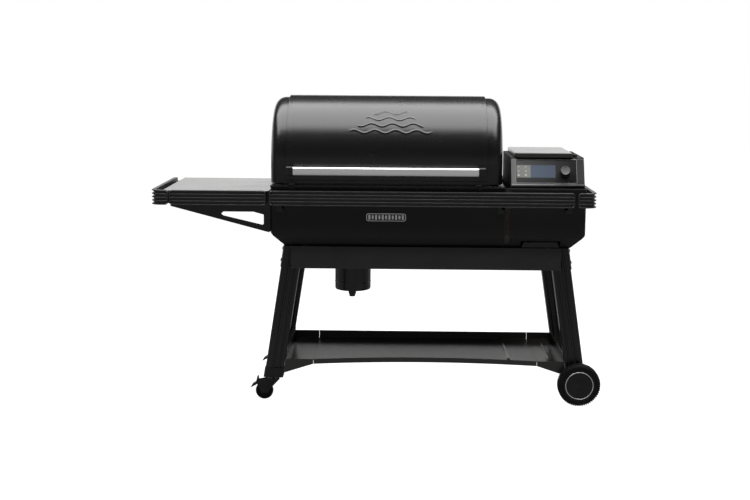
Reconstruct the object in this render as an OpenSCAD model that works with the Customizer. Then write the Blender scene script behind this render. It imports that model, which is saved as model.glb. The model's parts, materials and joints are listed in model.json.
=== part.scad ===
// Pellet smoker grill on a wheeled cart: a barrel with a hinged lid, a pellet hopper with its controls,
// a left side shelf, a splayed cart with a bottom shelf, two casters and two large wheels.
// Frame: origin on the floor under the middle of the grill, +X right, +Y back, +Z up, millimetres.

/* [Whole grill] */
// width over the left rail and the right wheels
overall_w = 1778; // [1770:2:1790]
// depth over the front rail and the rear exhaust box
overall_d = 635; // [631:1:645]
// thickness of the body's sheet steel
sheet = 3; // [2:0.5:4]

/* [Barrel body] */
// left wall of the barrel
body_left = -424; // [-428:1:-422]
// width of the barrel part of the body
barrel_w = 919; // [915:1:921]
// depth of the body
body_d = 560; // [556:1:562]
// underside of the body
body_bottom = 630; // [628:1:632]
// top of the body's walls
body_top = 868; // [864:1:868]
// height at which the front and back walls fold inwards
fold_front_z = 673; // [665:1:680]
// height at which the end walls fold inwards
fold_side_z = 685; // [675:1:688]
// how far the folded walls reach inwards at the front and back
fold_in = 40; // [30:1:45]
// how far they reach inwards at the left and right ends
fold_in_ends = 54; // [48:1:60]

/* [Hopper body] */
// width of the perforated gap between barrel and hopper
vent_w = 23; // [20:1:24]
// width of the hopper part of the body
hopper_w = 294; // [288:1:300]
// flat top of the hopper, under its lid
hopper_top = 986; // [980:1:990]
// depth of the upper hopper behind the body's middle
hopper_back = 132; // [128:1:140]
// lean of the control panel from upright
panel_tilt = 25.6; // [23:0.2:28]

/* [Lid] */
// radius of the lid's middle skin
lid_r = 262; // [256:1:264]
// height of the lid's arch centre
lid_axis_z = 955; // [950:1:960]
// lower edge of the lid
lid_bottom = 879; // [879:1:882]
// left end of the lid's raised middle skin
skin_left = -365; // [-370:1:-362]
// right end of the lid's raised middle skin
skin_right = 425; // [420:1:428]
// length of each rounded end cap beyond the skin
cap_len = 62; // [55:1:66]
// radius of the end caps' rounded shoulder
cap_round = 45; // [30:1:48]
// thickness of the lid's sheet steel
lid_sheet = 2.5; // [2:0.5:3]

/* [Rails] */
// height of the ribbed rails
rail_h = 58; // [54:1:60]
// underside of the rails
rail_z = 797; // [795:1:798]
// thickness of the rails
rail_t = 16; // [14:1:17]
// length the side rails run towards the back
side_rail_back = 224; // [200:1:240]

/* [Cart] */
// middle of the cart between its splayed legs
cart_x = 189; // [186:1:192]
// half the distance between left and right legs at their top
leg_span = 526; // [520:0.5:528]
// lean of the legs
splay = 8.8; // [8:0.1:9]
// width of a leg
leg_w = 74; // [70:1:76]
// depth of a leg
leg_d = 50; // [46:1:52]
// height of the front and rear beams
beam_h = 89; // [80:1:95]
// height of the bottom shelf
shelf_z = 171; // [168:1:175]

/* [Wheels] */
// radius of the large wheels
wheel_r = 85; // [82:1:86]
// width of the large wheels
wheel_w = 46; // [42:1:46]
// radius of the caster wheels
caster_r = 35.5; // [34:0.5:36]
// distance of a caster wheel behind its swivel
caster_trail = 36; // [35:1:42]

/* [Hidden] */
$fn = 96;

// --- derived places ---
front_y = -overall_d / 2;
half_d = body_d / 2;
barrel_right = body_left + barrel_w;
barrel_mid = (body_left + barrel_right) / 2;
hopper_left = barrel_right + vent_w;
hopper_right = hopper_left + hopper_w;
corner_r = 15;
rim_t = 6;
rim_lip = 8;
liner_gap = 14;
liner_t = 2;
auger_z = 690;
auger_r = 36;
pot_r = 60;
keg_x = -108;
keg_r = 74;
keg_top = 598;
keg_bottom = 415;
neck_r = 55;
cap_r = lid_r - 8;
hinge_y = half_d + 10;
hinge_z = lid_bottom + 1;
hinge_xs = [-250, 310];
hinge_r = 9;
hinge_half_w = 15;
arm_w = 15.5;
pin_r = 4;
running = 0.05;
handle_z0 = 916;
handle_h = 32;
bar_left = -333;
bar_right = 388;
handle_end_w = 26;
handle_depth = 20;
panel_y = -262;
panel_z = body_top + 4;
bezel_t = 8;
knob_x = 728;
knob_v = 60;
shelf_left = -845;
shelf_right = -430;
shelf_top = 852;
leg_y = half_d - 55;
leg_top = body_bottom;
sleeve_t = 3;
foot_t = 2.5;
wheel_x = overall_w / 2 - wheel_r;
wheel_in = leg_y + leg_d / 2 + 4;
axle_r = 8;
caster_top = 88;
swivel_x = cart_x - leg_span - (leg_top - caster_top) * tan(splay);
beam_left = -347;
beam_right = 722;
beam_t = 4;
deck_front = -248;
deck_back = 165;
deck_seams = [-257, 638];
gate_x0 = 561;
gate_x1 = 716;

// --- drawing helpers ---
// a flat shape drawn in (X, Z), pushed through Y
module along_y(y0, y1) {
    translate([0, y1, 0]) rotate([90, 0, 0]) linear_extrude(y1 - y0) children();
}

// a flat shape drawn in (Y, Z), pushed through X
module along_x(x0, x1) {
    translate([x0, 0, 0]) rotate([90, 0, 90]) linear_extrude(x1 - x0) children();
}

// a flat shape drawn in (X, Y), pushed through Z
module along_z(z0, z1) {
    translate([0, 0, z0]) linear_extrude(z1 - z0) children();
}

module box(x0, x1, y0, y1, z0, z1) {
    translate([x0, y0, z0]) cube([x1 - x0, y1 - y0, z1 - z0]);
}

module rod_x(x0, x1, y, z, r) {
    translate([x0, y, z]) rotate([0, 90, 0]) cylinder(h = x1 - x0, r = r);
}

module rod_y(y0, y1, x, z, r) {
    translate([x, y1, z]) rotate([90, 0, 0]) cylinder(h = y1 - y0, r = r);
}

module rod_z(z0, z1, x, y, r) {
    translate([x, y, z0]) cylinder(h = z1 - z0, r = r);
}

// flat rectangle with round corners
module round_rect(x0, x1, y0, y1, r) {
    translate([x0 + r, y0]) square([x1 - x0 - 2 * r, y1 - y0]);
    translate([x0, y0 + r]) square([x1 - x0, y1 - y0 - 2 * r]);
    for (x = [x0 + r, x1 - r], y = [y0 + r, y1 - r])
        translate([x, y]) circle(r);
}

// copies for the front and for the mirrored back
module front_and_back() {
    children();
    mirror([0, 1, 0]) children();
}

// copies for the left and for the mirrored right of the cart
module cart_right() {
    translate([2 * cart_x, 0, 0]) mirror([1, 0, 0]) children();
}

// bolt head with a hexagon socket, sitting on its origin and pointing along +Z
module bolt_head(r, h) {
    difference() {
        cylinder(h = h, r = r);
        translate([0, 0, h / 2]) cylinder(h = h, r = r / 2, $fn = 6);
    }
}

// --- body ---
// side outline of the body in (Y, Z), pulled in by t on every side but the top
module body_side(t, top) {
    y = half_d - t;
    z = body_bottom + t;
    polygon([
        [-y, top], [-y, fold_front_z], [-y + fold_in, z],
        [y - fold_in, z], [y, fold_front_z], [y, top]
    ]);
}

// pan with folded lower walls; end walls without a fold stay upright
module pan(x0, x1, fold_left, fold_right, t, top) {
    xl = x0 + t;
    xr = x1 - t;
    y = half_d - t;
    z = body_bottom + t;
    square_left = fold_left > 0 ? 0 : 4 * corner_r;
    square_right = fold_right > 0 ? 0 : 4 * corner_r;
    intersection() {
        along_y(-y, y) polygon([
            [xl, top], [xl, fold_side_z], [xl + fold_left, z],
            [xr - fold_right, z], [xr, fold_side_z], [xr, top]
        ]);
        along_x(xl, xr) body_side(t, top);
        along_z(z, top) round_rect(xl - square_left, xr + square_right, -y, y, max(corner_r - t, 1));
    }
}

module auger_hole(x0, x1) {
    rod_x(x0, x1, 0, auger_z, auger_r + 1);
}

module barrel_shell() color("#1b1b1d") difference() {
    union() {
        difference() {
            pan(body_left, barrel_right, fold_in_ends, 0, 0, body_top);
            pan(body_left, barrel_right, fold_in_ends, 0, sheet, body_top + 1);
        }
        rod_z(keg_top + 2, body_bottom + liner_gap, keg_x, 0, neck_r + sheet);
    }
    rod_z(keg_top, body_bottom + liner_gap + 1, keg_x, 0, neck_r);
    auger_hole(barrel_right - 2 * sheet, barrel_right + 1);
}

module barrel_liner() color("#4a4a4c") difference() {
    pan(body_left, barrel_right, fold_in_ends, 0, liner_gap, body_top);
    pan(body_left, barrel_right, fold_in_ends, 0, liner_gap + liner_t, body_top + 1);
    rod_z(body_bottom, fold_front_z, keg_x, 0, neck_r);
    auger_hole(barrel_right - 2 * liner_gap, barrel_right);
}

module barrel_rim() color("#222224") difference() {
    box(body_left, barrel_right, -half_d - rim_lip, half_d, body_top, body_top + rim_t);
    box(body_left + 24, barrel_right - 24, -half_d + 28, half_d - 28, body_top - 1, body_top + rim_t + 1);
}

module lid_bumpers() color("#0c0c0c") for (x = [-339, 391]) {
    box(x - 11, x + 11, -half_d - rim_lip - 3, -lid_r + 8, body_top + rim_t, lid_bottom);
    box(x - 11, x + 11, -half_d - rim_lip - 3, -half_d - rim_lip, body_top - 6, body_top + rim_t);
}

// sheet band around the gap, with two columns of square holes down its front
module vent_strip() color("#4c4640") {
    inset = 6;
    hole = 4.4;
    pitch = 8.7;
    rows = 10;
    first_z = 784.7;
    last_z = first_z - (rows - 1) * pitch;
    heights = concat([for (i = [0:rows - 1]) first_z - i * pitch], [last_z - 16, body_top - 6]);
    difference() {
        along_x(barrel_right, hopper_left) difference() {
            body_side(inset, body_top);
            body_side(inset + sheet, body_top + 1);
        }
        for (z = heights, x = [-4.3, 4.3])
            translate([(barrel_right + hopper_left) / 2 + x - hole / 2, -half_d, z - hole / 2])
                cube([hole, inset + 2 * sheet, hole]);
    }
}

module exhaust_duct() color("#1b1b1d") {
    wall = 2;
    x0 = -150;
    x1 = 216;
    z0 = 690;
    z1 = 850;
    slots = 9;
    difference() {
        box(x0, x1, half_d, overall_d / 2, z0, z1);
        box(x0 + wall, x1 - wall, half_d + wall, overall_d / 2 - wall, z0 + wall, z1 - wall);
        for (i = [0:slots - 1])
            translate([x0 + 25 + i * 36, half_d + 10, z0 - 1]) cube([24, 18, wall + 2]);
    }
}

module badge() color("#8f9092") {
    x0 = -48;
    x1 = 108;
    z0 = 736;
    z1 = 767;
    r = 9;
    along_y(-half_d - 3, -half_d) round_rect(x0, x1, z0, z1, r);
}

// --- inside the barrel ---
// flat bar grid with a border, drawn in (X, Y)
module grid(x0, x1, y0, y1, pitch, bar) {
    n = floor((x1 - x0 - bar) / pitch);
    step = (x1 - x0 - bar) / n;
    for (i = [0:n])
        translate([x0 + i * step, y0]) square([bar, y1 - y0]);
    for (i = [0:3])
        translate([x0, y0 + i * (y1 - y0 - bar) / 3]) square([x1 - x0, bar]);
}

grate_left = barrel_mid - 419;
grate_right = barrel_mid + 419;
grate_z = 850;

module main_grate() color("#2a2a2a") along_z(grate_z, grate_z + 8)
    grid(grate_left, grate_right, -229, 229, 20, 6);

// half-depth grate standing on four legs over the back of the main grate
module upper_grate() color("#2a2a2a") {
    z = 985;
    y0 = -20;
    y1 = 234;
    along_z(z, z + 6) grid(grate_left, grate_right, y0, y1, 20, 5);
    for (x = [grate_left + 4, grate_right - 4], y = [y0 + 4, y1 - 8])
        rod_z(grate_z + 8, z + 1, x, y, 4);
}

// grease tray: a floor that falls towards the keg, with raised edges
module drip_tray() color("#3b3a38") {
    x0 = body_left + 30;
    x1 = barrel_right - 30;
    y = 225;
    floor_t = 2;
    low = 796;
    high = 812;
    along_y(-y, y) polygon([
        [x0, high], [keg_x, low], [x1, high],
        [x1, high + floor_t], [keg_x, low + floor_t], [x0, high + floor_t]
    ]);
    front_and_back() box(x0, x1, -y, -y + floor_t, high, high + 22);
    front_and_back() along_y(-y, -y + floor_t) polygon([[x0, high], [keg_x, low], [x1, high]]);
}

// folded sheet that spreads the fire's heat
module heat_baffle() color("#3a3836") {
    half_w = 180;
    t = 3;
    along_y(-150, 150) polygon([
        [barrel_mid - half_w, 745], [barrel_mid, 775], [barrel_mid + half_w, 745],
        [barrel_mid + half_w, 745 + t], [barrel_mid, 775 + t], [barrel_mid - half_w, 745 + t]
    ]);
    for (x = [-1, 1], y = [-145, 145])
        rod_z(body_bottom + liner_gap + liner_t, 748, barrel_mid + x * (half_w - 5), y, 4);
}

module fire_pot() color("#2b2724") {
    z0 = body_bottom + liner_gap + liner_t;
    z1 = 735;
    wall = 4;
    air_holes = 16;
    difference() {
        rod_z(z0, z1, barrel_mid, 0, pot_r);
        rod_z(z0 + 12, z1 + 1, barrel_mid, 0, pot_r - wall);
        auger_pot_hole();
        for (i = [0:air_holes - 1])
            translate([barrel_mid, 0, z1 - 18]) rotate([0, 0, (i + 0.5) * 360 / air_holes])
                rotate([0, 90, 0]) cylinder(h = pot_r + 1, r = 3);
    }
    rod_y(pot_r - 15, pot_r + 60, barrel_mid, z0 + 28, 5);
}

module auger_pot_hole() {
    rod_x(barrel_mid, barrel_mid + pot_r + 1, 0, auger_z, auger_r - 3);
}

// --- pellet feed ---
motor_x = 722;
auger_start = barrel_mid + pot_r + 1;

module auger_tube() color("#6d6e70") difference() {
    rod_x(auger_start, motor_x, 0, auger_z, auger_r);
    rod_x(auger_start - 1, motor_x + 1, 0, auger_z, auger_r - 3);
    box(612, 684, -20, 20, auger_z, auger_z + auger_r + 1);
}

module auger_screw() color("#8a8b8d") {
    flight_r = auger_r - 5;
    flight_t = 5;
    lead = 80;
    len = 600;
    rod_x(auger_start + 3, motor_x + 12, 0, auger_z, 8);
    translate([auger_start + 5, 0, auger_z]) rotate([0, 90, 0])
        linear_extrude(len, twist = 360 * len / lead, slices = 16 * len / lead, $fn = 16)
            square([2 * flight_r, flight_t], center = true);
}

module auger_motor() color("#55565a") difference() {
    union() {
        box(motor_x, motor_x + 40, -38, 38, auger_z - 40, auger_z + 40);
        rod_x(motor_x + 40, motor_x + 60, 0, auger_z, 28);
    }
    rod_x(motor_x - 1, motor_x + 14, 0, auger_z, 8 + running);
}

fan_x = 660;
fan_z = 704;
fan_r = 60;
fan_y0 = 140;
fan_y1 = 190;

module fan_housing() color("#2f3033") {
    wall = 3;
    difference() {
        union() {
            rod_y(fan_y0, fan_y1, fan_x, fan_z, fan_r);
            box(hopper_left + sheet, fan_x, fan_y0, fan_y1, fan_z + 24, fan_z + fan_r);
            box(fan_x - 20, fan_x + 20, fan_y0, fan_y1, body_bottom + sheet, fan_z - 50);
        }
        rod_y(fan_y0 + wall, fan_y1 - wall, fan_x, fan_z, fan_r - wall);
        box(hopper_left, fan_x, fan_y0 + wall, fan_y1 - wall, fan_z + 24 + wall, fan_z + fan_r - wall);
        rod_y(fan_y0 - 1, fan_y0 + wall + 1, fan_x, fan_z, 26);
    }
    rod_y(fan_y0 + wall, fan_y1, fan_x, fan_z, pin_r);
}

module fan_impeller() color("#7a7c80") {
    blades = 12;
    r = fan_r - 8;
    difference() {
        union() {
            rod_y(fan_y1 - 10, fan_y1 - 7, fan_x, fan_z, r);
            rod_y(fan_y0 + 8, fan_y1 - 7, fan_x, fan_z, 10);
            for (i = [0:blades - 1])
                translate([fan_x, 0, fan_z]) rotate([0, i * 360 / blades, 0])
                    translate([r - 20, fan_y0 + 8, -1]) cube([18, fan_y1 - fan_y0 - 16, 2]);
        }
        rod_y(fan_y0, fan_y1, fan_x, fan_z, pin_r + running);
    }
}

// --- hopper ---
upper_right = hopper_right - 6;
bin_x0 = 545;
bin_x1 = 751;
bin_y0 = -195;
bin_y1 = 100;
hopper_hinge_xs = [583, 713];
hopper_hinge_y = 124;
hopper_hinge_z = hopper_top + 7;
hopper_pin_r = 3;

// side outline of the upper hopper in (Y, Z), pulled in by t
module hopper_side(t, bottom) {
    lean = tan(panel_tilt);
    slant = t / cos(panel_tilt);
    top = hopper_top - t;
    polygon([
        [panel_y + slant, bottom], [panel_y + slant, panel_z],
        [panel_y + slant + (top - panel_z) * lean, top],
        [hopper_back - t, top], [hopper_back - t, bottom]
    ]);
}

module hopper_housing() color("#1b1b1d") {
    difference() {
        union() {
            pan(hopper_left, hopper_right, 0, fold_in_ends, 0, body_top);
            along_x(hopper_left, upper_right) hopper_side(0, body_top - 1);
        }
        pan(hopper_left, hopper_right, 0, fold_in_ends, sheet, body_top - sheet);
        along_x(hopper_left + sheet, upper_right - sheet) hopper_side(sheet, body_top - 2 * sheet);
        box(bin_x0 - 1, bin_x1 + 1, bin_y0 - 1, bin_y1 + 1, hopper_top - 2 * sheet, hopper_top + 1);
        box(gate_x0, gate_x1, -half_d - 1, -half_d + fold_in + 4, body_bottom + sheet, 660);
        auger_hole(hopper_left - 1, hopper_left + sheet + 1);
        on_panel() rod_z(-sheet - 1, 1, knob_x, knob_v, pin_r + 2);
    }
    box(764, 780, -207, -191, hopper_top, hopper_top + 12);
    for (x = hopper_hinge_xs) hopper_hinge_lug(x);
}

// welded lug with a pin that reaches out to both sides
module hopper_hinge_lug(x) {
    box(x - 6, x + 6, hopper_hinge_y - 5, hopper_hinge_y + 5, hopper_top, hopper_hinge_z + 3);
    rod_x(x - 20, x + 20, hopper_hinge_y, hopper_hinge_z, hopper_pin_r);
}

// funnel: straight walls, then tapering to the throat over the auger
module funnel(t) {
    wide_z = 860;
    throat_z = auger_z + auger_r + 2 - t;
    throat_half = 42 - t;
    throat_mid = (bin_x0 + bin_x1) / 2;
    x0 = bin_x0 + t;
    x1 = bin_x1 - t;
    y0 = bin_y0 + t;
    y1 = bin_y1 - t;
    top = hopper_top + 3;
    intersection() {
        along_y(y0, y1) polygon([
            [x0, top], [x1, top], [x1, wide_z],
            [throat_mid + throat_half, throat_z], [throat_mid - throat_half, throat_z], [x0, wide_z]
        ]);
        along_x(x0, x1) polygon([
            [y0, top], [y1, top], [y1, wide_z],
            [throat_half, throat_z], [-throat_half, throat_z], [y0, wide_z]
        ]);
    }
}

module hopper_bin() color("#9a9b9d") difference() {
    flange = 5;
    wall = 2;
    rim = hopper_top + wall;
    union() {
        intersection() {
            funnel(0);
            box(bin_x0, bin_x1, bin_y0, bin_y1, auger_z, rim);
        }
        box(bin_x0 - flange, bin_x1 + flange, bin_y0 - flange, bin_y1 + flange, hopper_top, rim);
    }
    funnel(wall);
}

// sliding tray in the lower front of the hopper, with a finger tab
module cleanout_gate() color("#2a2a2c") {
    y0 = -half_d + 16;
    box(gate_x0 + 6, gate_x1 - 6, y0 + 4, -60, body_bottom + 8, body_bottom + 11);
    along_y(y0, y0 + 4) polygon([
        [gate_x0 + 3, body_bottom + 5], [gate_x1 - 3, body_bottom + 5], [gate_x1 - 12, 656], [gate_x0 + 12, 656]
    ]);
    rod_y(y0 - 10, y0, gate_x0 + 32, 650, 5);
}

module hopper_lid() color("#1f1f21") {
    x0 = 534;
    x1 = 762;
    y0 = -225;
    y1 = 116;
    z0 = hopper_top + 0.5;
    z1 = 1004;
    t = 2;
    difference() {
        along_z(z0, z1) round_rect(x0, x1, y0, y1, 12);
        along_z(z0 - 1, z1 - t) round_rect(x0 + t, x1 - t, y0 + t, y1 - t, 10);
    }
    for (x = hopper_hinge_xs, side = [-1, 1]) hopper_lid_knuckle(x + side * 13, y1 - 1);
}

// hinge knuckle of the hopper lid, joined to the lid at Y = lid_y
module hopper_lid_knuckle(x, lid_y) {
    half = 6;
    difference() {
        union() {
            rod_x(x - half, x + half, hopper_hinge_y, hopper_hinge_z, 5.5);
            box(x - half, x + half, lid_y, hopper_hinge_y, hopper_hinge_z - 3, hopper_hinge_z + 4);
        }
        rod_x(x - half - 1, x + half + 1, hopper_hinge_y, hopper_hinge_z, hopper_pin_r + running);
    }
}

// --- controls: local frame with X right, Y up the slanted panel, Z out of it ---
module on_panel() {
    translate([0, panel_y, panel_z]) rotate([90 - panel_tilt, 0, 0]) children();
}

glass = [538, 773, 17, 112];
screen = [540, 692, 38, 90];
glass_t = 3;
screen_t = 2.5;

module control_bezel() color("#252628") on_panel() difference() {
    union() {
        along_z(0, bezel_t) round_rect(hopper_left + 1, upper_right - 1, 0, 117, 5);
        along_z(0, bezel_t + 5) round_rect(hopper_left + 1, upper_right - 1, 0, 9, 4);
    }
    along_z(bezel_t - glass_t, bezel_t + 1) round_rect(glass[0], glass[1], glass[2], glass[3], 3);
    rod_z(-1, bezel_t, knob_x, knob_v, pin_r + 2);
}

module control_panel() color("#101114") on_panel() difference() {
    along_z(bezel_t - glass_t, bezel_t) round_rect(glass[0], glass[1], glass[2], glass[3], 3);
    along_z(bezel_t - screen_t, bezel_t + 1) round_rect(screen[0], screen[1], screen[2], screen[3], 1);
    rod_z(0, bezel_t + 1, knob_x, knob_v, pin_r + 2);
}

module display() color("#3c4452") on_panel()
    along_z(bezel_t - screen_t, bezel_t) round_rect(screen[0], screen[1], screen[2], screen[3], 1);

module knob() color("#3a3b3f") on_panel() {
    skirt_r = 21;
    grip_r = 18.5;
    skirt_z = bezel_t + 12;
    grip_z = bezel_t + 24;
    rod_z(-6, bezel_t + 1, knob_x, knob_v, pin_r);
    rod_z(bezel_t + 0.6, skirt_z, knob_x, knob_v, skirt_r);
    rod_z(skirt_z, grip_z, knob_x, knob_v, grip_r);
    translate([knob_x, knob_v, grip_z]) cylinder(h = 2, r1 = grip_r, r2 = grip_r - 2);
}

// --- lid ---
// arch outline in (Y, Z): half a circle on two upright walls
module arch(r, bottom) {
    intersection() {
        union() {
            translate([0, lid_axis_z]) circle(r, $fn = 180);
            translate([-r, bottom]) square([2 * r, lid_axis_z - bottom]);
        }
        translate([-r, bottom]) square([2 * r, lid_axis_z + r - bottom]);
    }
}

module lid_skin() color("#161618") {
    along_x(skin_left, skin_right) difference() {
        arch(lid_r, lid_bottom);
        arch(lid_r - lid_sheet, lid_bottom - 1);
    }
    for (x = [skin_left, skin_right - lid_sheet]) along_x(x, x + lid_sheet) difference() {
        arch(lid_r, lid_bottom);
        arch(cap_r, lid_bottom - 1);
    }
    front_and_back() box(skin_left, skin_right, -lid_r, -cap_r - 1, lid_bottom, lid_bottom + 2);
}

// outline of an end cap: outwards from the lid in X, arch radius in Y
module cap_outline(len, r, round_r) {
    square([len - round_r, r]);
    square([len, r - round_r]);
    translate([len - round_r, r - round_r]) circle(round_r);
}

// solid end cap, pointing along +X, with its open end at X = 0
module cap_solid(len, r, round_r, bottom) {
    intersection() {
        translate([0, 0, lid_axis_z]) rotate([0, 90, 0])
            rotate_extrude($fn = 180) mirror([1, -1]) cap_outline(len, r, round_r);
        box(0, len, -r, r, lid_axis_z, lid_axis_z + r);
    }
    along_z(bottom, lid_axis_z) intersection() {
        union() {
            cap_outline(len, r, round_r);
            mirror([0, 1]) cap_outline(len, r, round_r);
        }
        translate([0, -r]) square([len, 2 * r]);
    }
}

module cap_shell() {
    tuck = 10;
    len = cap_len + tuck;
    translate([-tuck, 0, 0]) difference() {
        cap_solid(len, cap_r, cap_round, lid_bottom);
        translate([-1, 0, 0])
            cap_solid(len + 1 - lid_sheet, cap_r - lid_sheet, cap_round - lid_sheet, lid_bottom - 1);
    }
}

module lid_end_caps() color("#161618") {
    translate([skin_right, 0, 0]) cap_shell();
    translate([skin_left, 0, 0]) mirror([1, 0, 0]) cap_shell();
}

module lid_liner() color("#5a5a5c") {
    r = cap_r - 10;
    t = 1.5;
    x0 = skin_left - 12;
    x1 = skin_right + 12;
    along_x(x0, x1) difference() {
        arch(r, lid_bottom + 2);
        arch(r - t, lid_bottom);
    }
    for (x = [x0, x1 - t]) along_x(x, x + t) difference() {
        arch(cap_r - lid_sheet, lid_bottom + 2);
        arch(r - t, lid_bottom);
    }
}

module lid_handle_bar() color("#b9babc") along_x(bar_left, bar_right)
    round_rect(front_y, front_y + handle_depth, handle_z0, handle_z0 + handle_h, 9);

module lid_handle_ends() color("#2b2c2e") for (x = [bar_left - handle_end_w, bar_right])
    along_x(x, x + handle_end_w) {
        round_rect(front_y, front_y + handle_depth + 8, handle_z0 - 2, handle_z0 + handle_h + 2, 8);
        translate([front_y + handle_depth, handle_z0 + 2])
            square([-lid_r - front_y - handle_depth, handle_h - 4]);
    }

module lid_hinge_bases() color("#2a2a2c") for (x = hinge_xs) {
    reach = hinge_half_w + 0.5 + arm_w;
    rod_x(x - hinge_half_w, x + hinge_half_w, hinge_y, hinge_z, hinge_r);
    rod_x(x - reach, x + reach, hinge_y, hinge_z, pin_r);
    box(x - hinge_half_w, x + hinge_half_w, half_d, half_d + 6, hinge_z - 60, hinge_z);
}

module lid_hinge_arms() color("#2a2a2c") for (x = hinge_xs, side = [-1, 1]) {
    x0 = x + side * (hinge_half_w + 0.5 + arm_w / 2) - arm_w / 2;
    x1 = x0 + arm_w;
    difference() {
        union() {
            rod_x(x0, x1, hinge_y, hinge_z, hinge_r);
            box(x0, x1, lid_r, hinge_y, hinge_z + 1, hinge_z + hinge_r);
            box(x0, x1, lid_r, lid_r + 5, hinge_z + 1, hinge_z + 56);
        }
        rod_x(x0 - 1, x1 + 1, hinge_y, hinge_z, pin_r + running);
    }
}

// --- rails ---
rail_border = 5;
rail_round = 12;
grooves = 4;
groove_deep = 7;
bracket_xs = [-386, 480, 742];
side_bracket_ys = [-200, 180];

// rail cross-section: outer face on the Y axis, thickness along +X, height up
module rail_profile() {
    rib = 5.5;
    groove = (rail_h - 2 * rail_border - (grooves - 1) * rib) / grooves;
    difference() {
        square([rail_t, rail_h]);
        for (i = [0:grooves - 1])
            translate([-1, rail_border + i * (groove + rib)]) square([1 + groove_deep, groove]);
    }
}

module straight_rail(x0, x1) {
    intersection() {
        union() {
            along_x(x0, x1) translate([front_y, rail_z]) rail_profile();
            for (x = [x0, x1 - rail_border])
                box(x, x + rail_border, front_y, front_y + rail_t, rail_z, rail_z + rail_h);
        }
        along_y(front_y - 1, front_y + rail_t + 1) round_rect(x0, x1, rail_z, rail_z + rail_h, rail_round);
    }
}

module front_rail() color("#232326") straight_rail(body_left - 1.5, 762);

module shelf_front_rail() color("#232326") straight_rail(-816, -439);

// rail that wraps a front corner, drawn for the left: outer face at X = -x_out
module side_rail(x_out, x_stub) {
    bend = 42;
    z1 = rail_z + rail_h;
    intersection() {
        union() {
            along_x(-x_out + bend, -x_stub) translate([front_y, rail_z]) rail_profile();
            translate([-x_out + bend, front_y + bend, rail_z]) rotate([0, 0, 180])
                rotate_extrude(angle = 90) translate([bend, 0]) mirror([1, 0]) rail_profile();
            along_y(front_y + bend, side_rail_back) translate([-x_out, rail_z]) rail_profile();
            box(-x_stub - rail_border, -x_stub, front_y, front_y + rail_t, rail_z, z1);
            box(-x_out, -x_out + rail_t, side_rail_back - rail_border, side_rail_back, rail_z, z1);
        }
        union() {
            along_y(front_y - 1, front_y + bend)
                round_rect(-x_out - 2 * rail_round, -x_stub, rail_z, z1, rail_round);
            along_x(-x_out - 1, -x_out + bend)
                round_rect(front_y + rail_round, side_rail_back, rail_z, z1, rail_round);
        }
    }
}

right_rail_x = hopper_right + 38;

module left_side_rail() color("#232326") side_rail(overall_w / 2, 820);

module right_side_rail() color("#232326") mirror([1, 0, 0]) side_rail(right_rail_x, 775);

// spacers that carry the rails on the body and on the shelf
module rail_brackets() color("#1d1d1f") {
    for (x = bracket_xs) {
        box(x - 15, x + 15, -half_d - 3, -half_d, 770, 850);
        box(x - 14, x + 14, front_y + rail_t, -half_d - 3, 814, 840);
    }
    for (y = side_bracket_ys) {
        box(hopper_right, right_rail_x - rail_t, y - 14, y + 14, 814, 840);
        box(-overall_w / 2 + rail_t, shelf_left, y - 14, y + 14, 814, 840);
    }
}

// --- side shelf ---
// plan of the shelf with its front corner cut off beside the barrel
module shelf_plan(t, open_right) {
    xl = shelf_left + t;
    xr = shelf_right + open_right;
    y0 = front_y + rail_t + t;
    y1 = 235 - t;
    cut = 20;
    polygon([[xl, y0], [xr - cut, y0], [xr, y0 + cut], [xr, y1], [xl, y1]]);
}

module shelf_panel() color("#2a2a2c") difference() {
    along_z(802, shelf_top) shelf_plan(0, 0);
    along_z(801, shelf_top - 3) shelf_plan(2, 5);
}

module shelf_brackets() color("#1d1d1f") for (y = [-276, 196]) {
    back = y < 0 ? y + 40 : y + 4;
    front = y < 0 ? y : y - 36;
    along_y(y, y + 4) difference() {
        polygon([[-817, shelf_top - 3], [-817, 788], [-428, 686.5], [-428, shelf_top - 3]]);
        polygon([[-608, 768], [-618, 760], [-610, 753], [-455, 717], [-451, 721], [-451, 757], [-491, 768]]);
    }
    box(-428, body_left, front, back, 690, shelf_top - 3);
}

// --- small visible fasteners ---
module bolt_heads() color("#6a6b6e") {
    for (x = bracket_xs, side = [-8, 8])
        translate([x + side, -half_d - 3, 780]) rotate([90, 0, 0]) bolt_head(5, 3);
    for (i = [0:5])
        translate([-213 + i * 121, -half_d, body_top - 6]) rotate([90, 0, 0]) bolt_head(3, 2);
    for (y = side_bracket_ys)
        translate([-859, y, 840]) bolt_head(6, 4);
    front_and_back() {
        sleeve_bolts();
        cart_right() sleeve_bolts();
    }
}

module sleeve_bolts() {
    for (z = [565, 612])
        translate([leg_x(z), -leg_y, z]) rotate([0, splay, 0]) translate([-leg_w / 2 - sleeve_t, 0, 0])
            rotate([0, -90, 0]) bolt_head(6, 3);
}

// --- cart ---
// middle of a left leg at height z
function leg_x(z) = cart_x - leg_span - (leg_top - z) * tan(splay);

// leg cross-section grown by g: broad round outer corners at -X, small inner corners
module leg_outline(g) {
    x = leg_w / 2 + g;
    y = leg_d / 2 + g;
    ro = 18 + g;
    ri = 5 + g;
    translate([-x + ro, -y]) square([2 * x - ro - ri, 2 * y]);
    translate([-x, -y + ro]) square([ro, 2 * (y - ro)]);
    translate([x - ri, -y + ri]) square([ri, 2 * (y - ri)]);
    for (side = [-1, 1]) {
        translate([-x + ro, side * (y - ro)]) circle(ro);
        translate([x - ri, side * (y - ri)]) circle(ri);
    }
}

module both_leg_faces() {
    children();
    mirror([0, 1]) children();
}

// cut in a leg's +Y face from x0 to x1
module leg_channel(x0, x1, deep) {
    translate([x0, leg_d / 2 - deep]) square([x1 - x0, deep + 1]);
}

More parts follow.
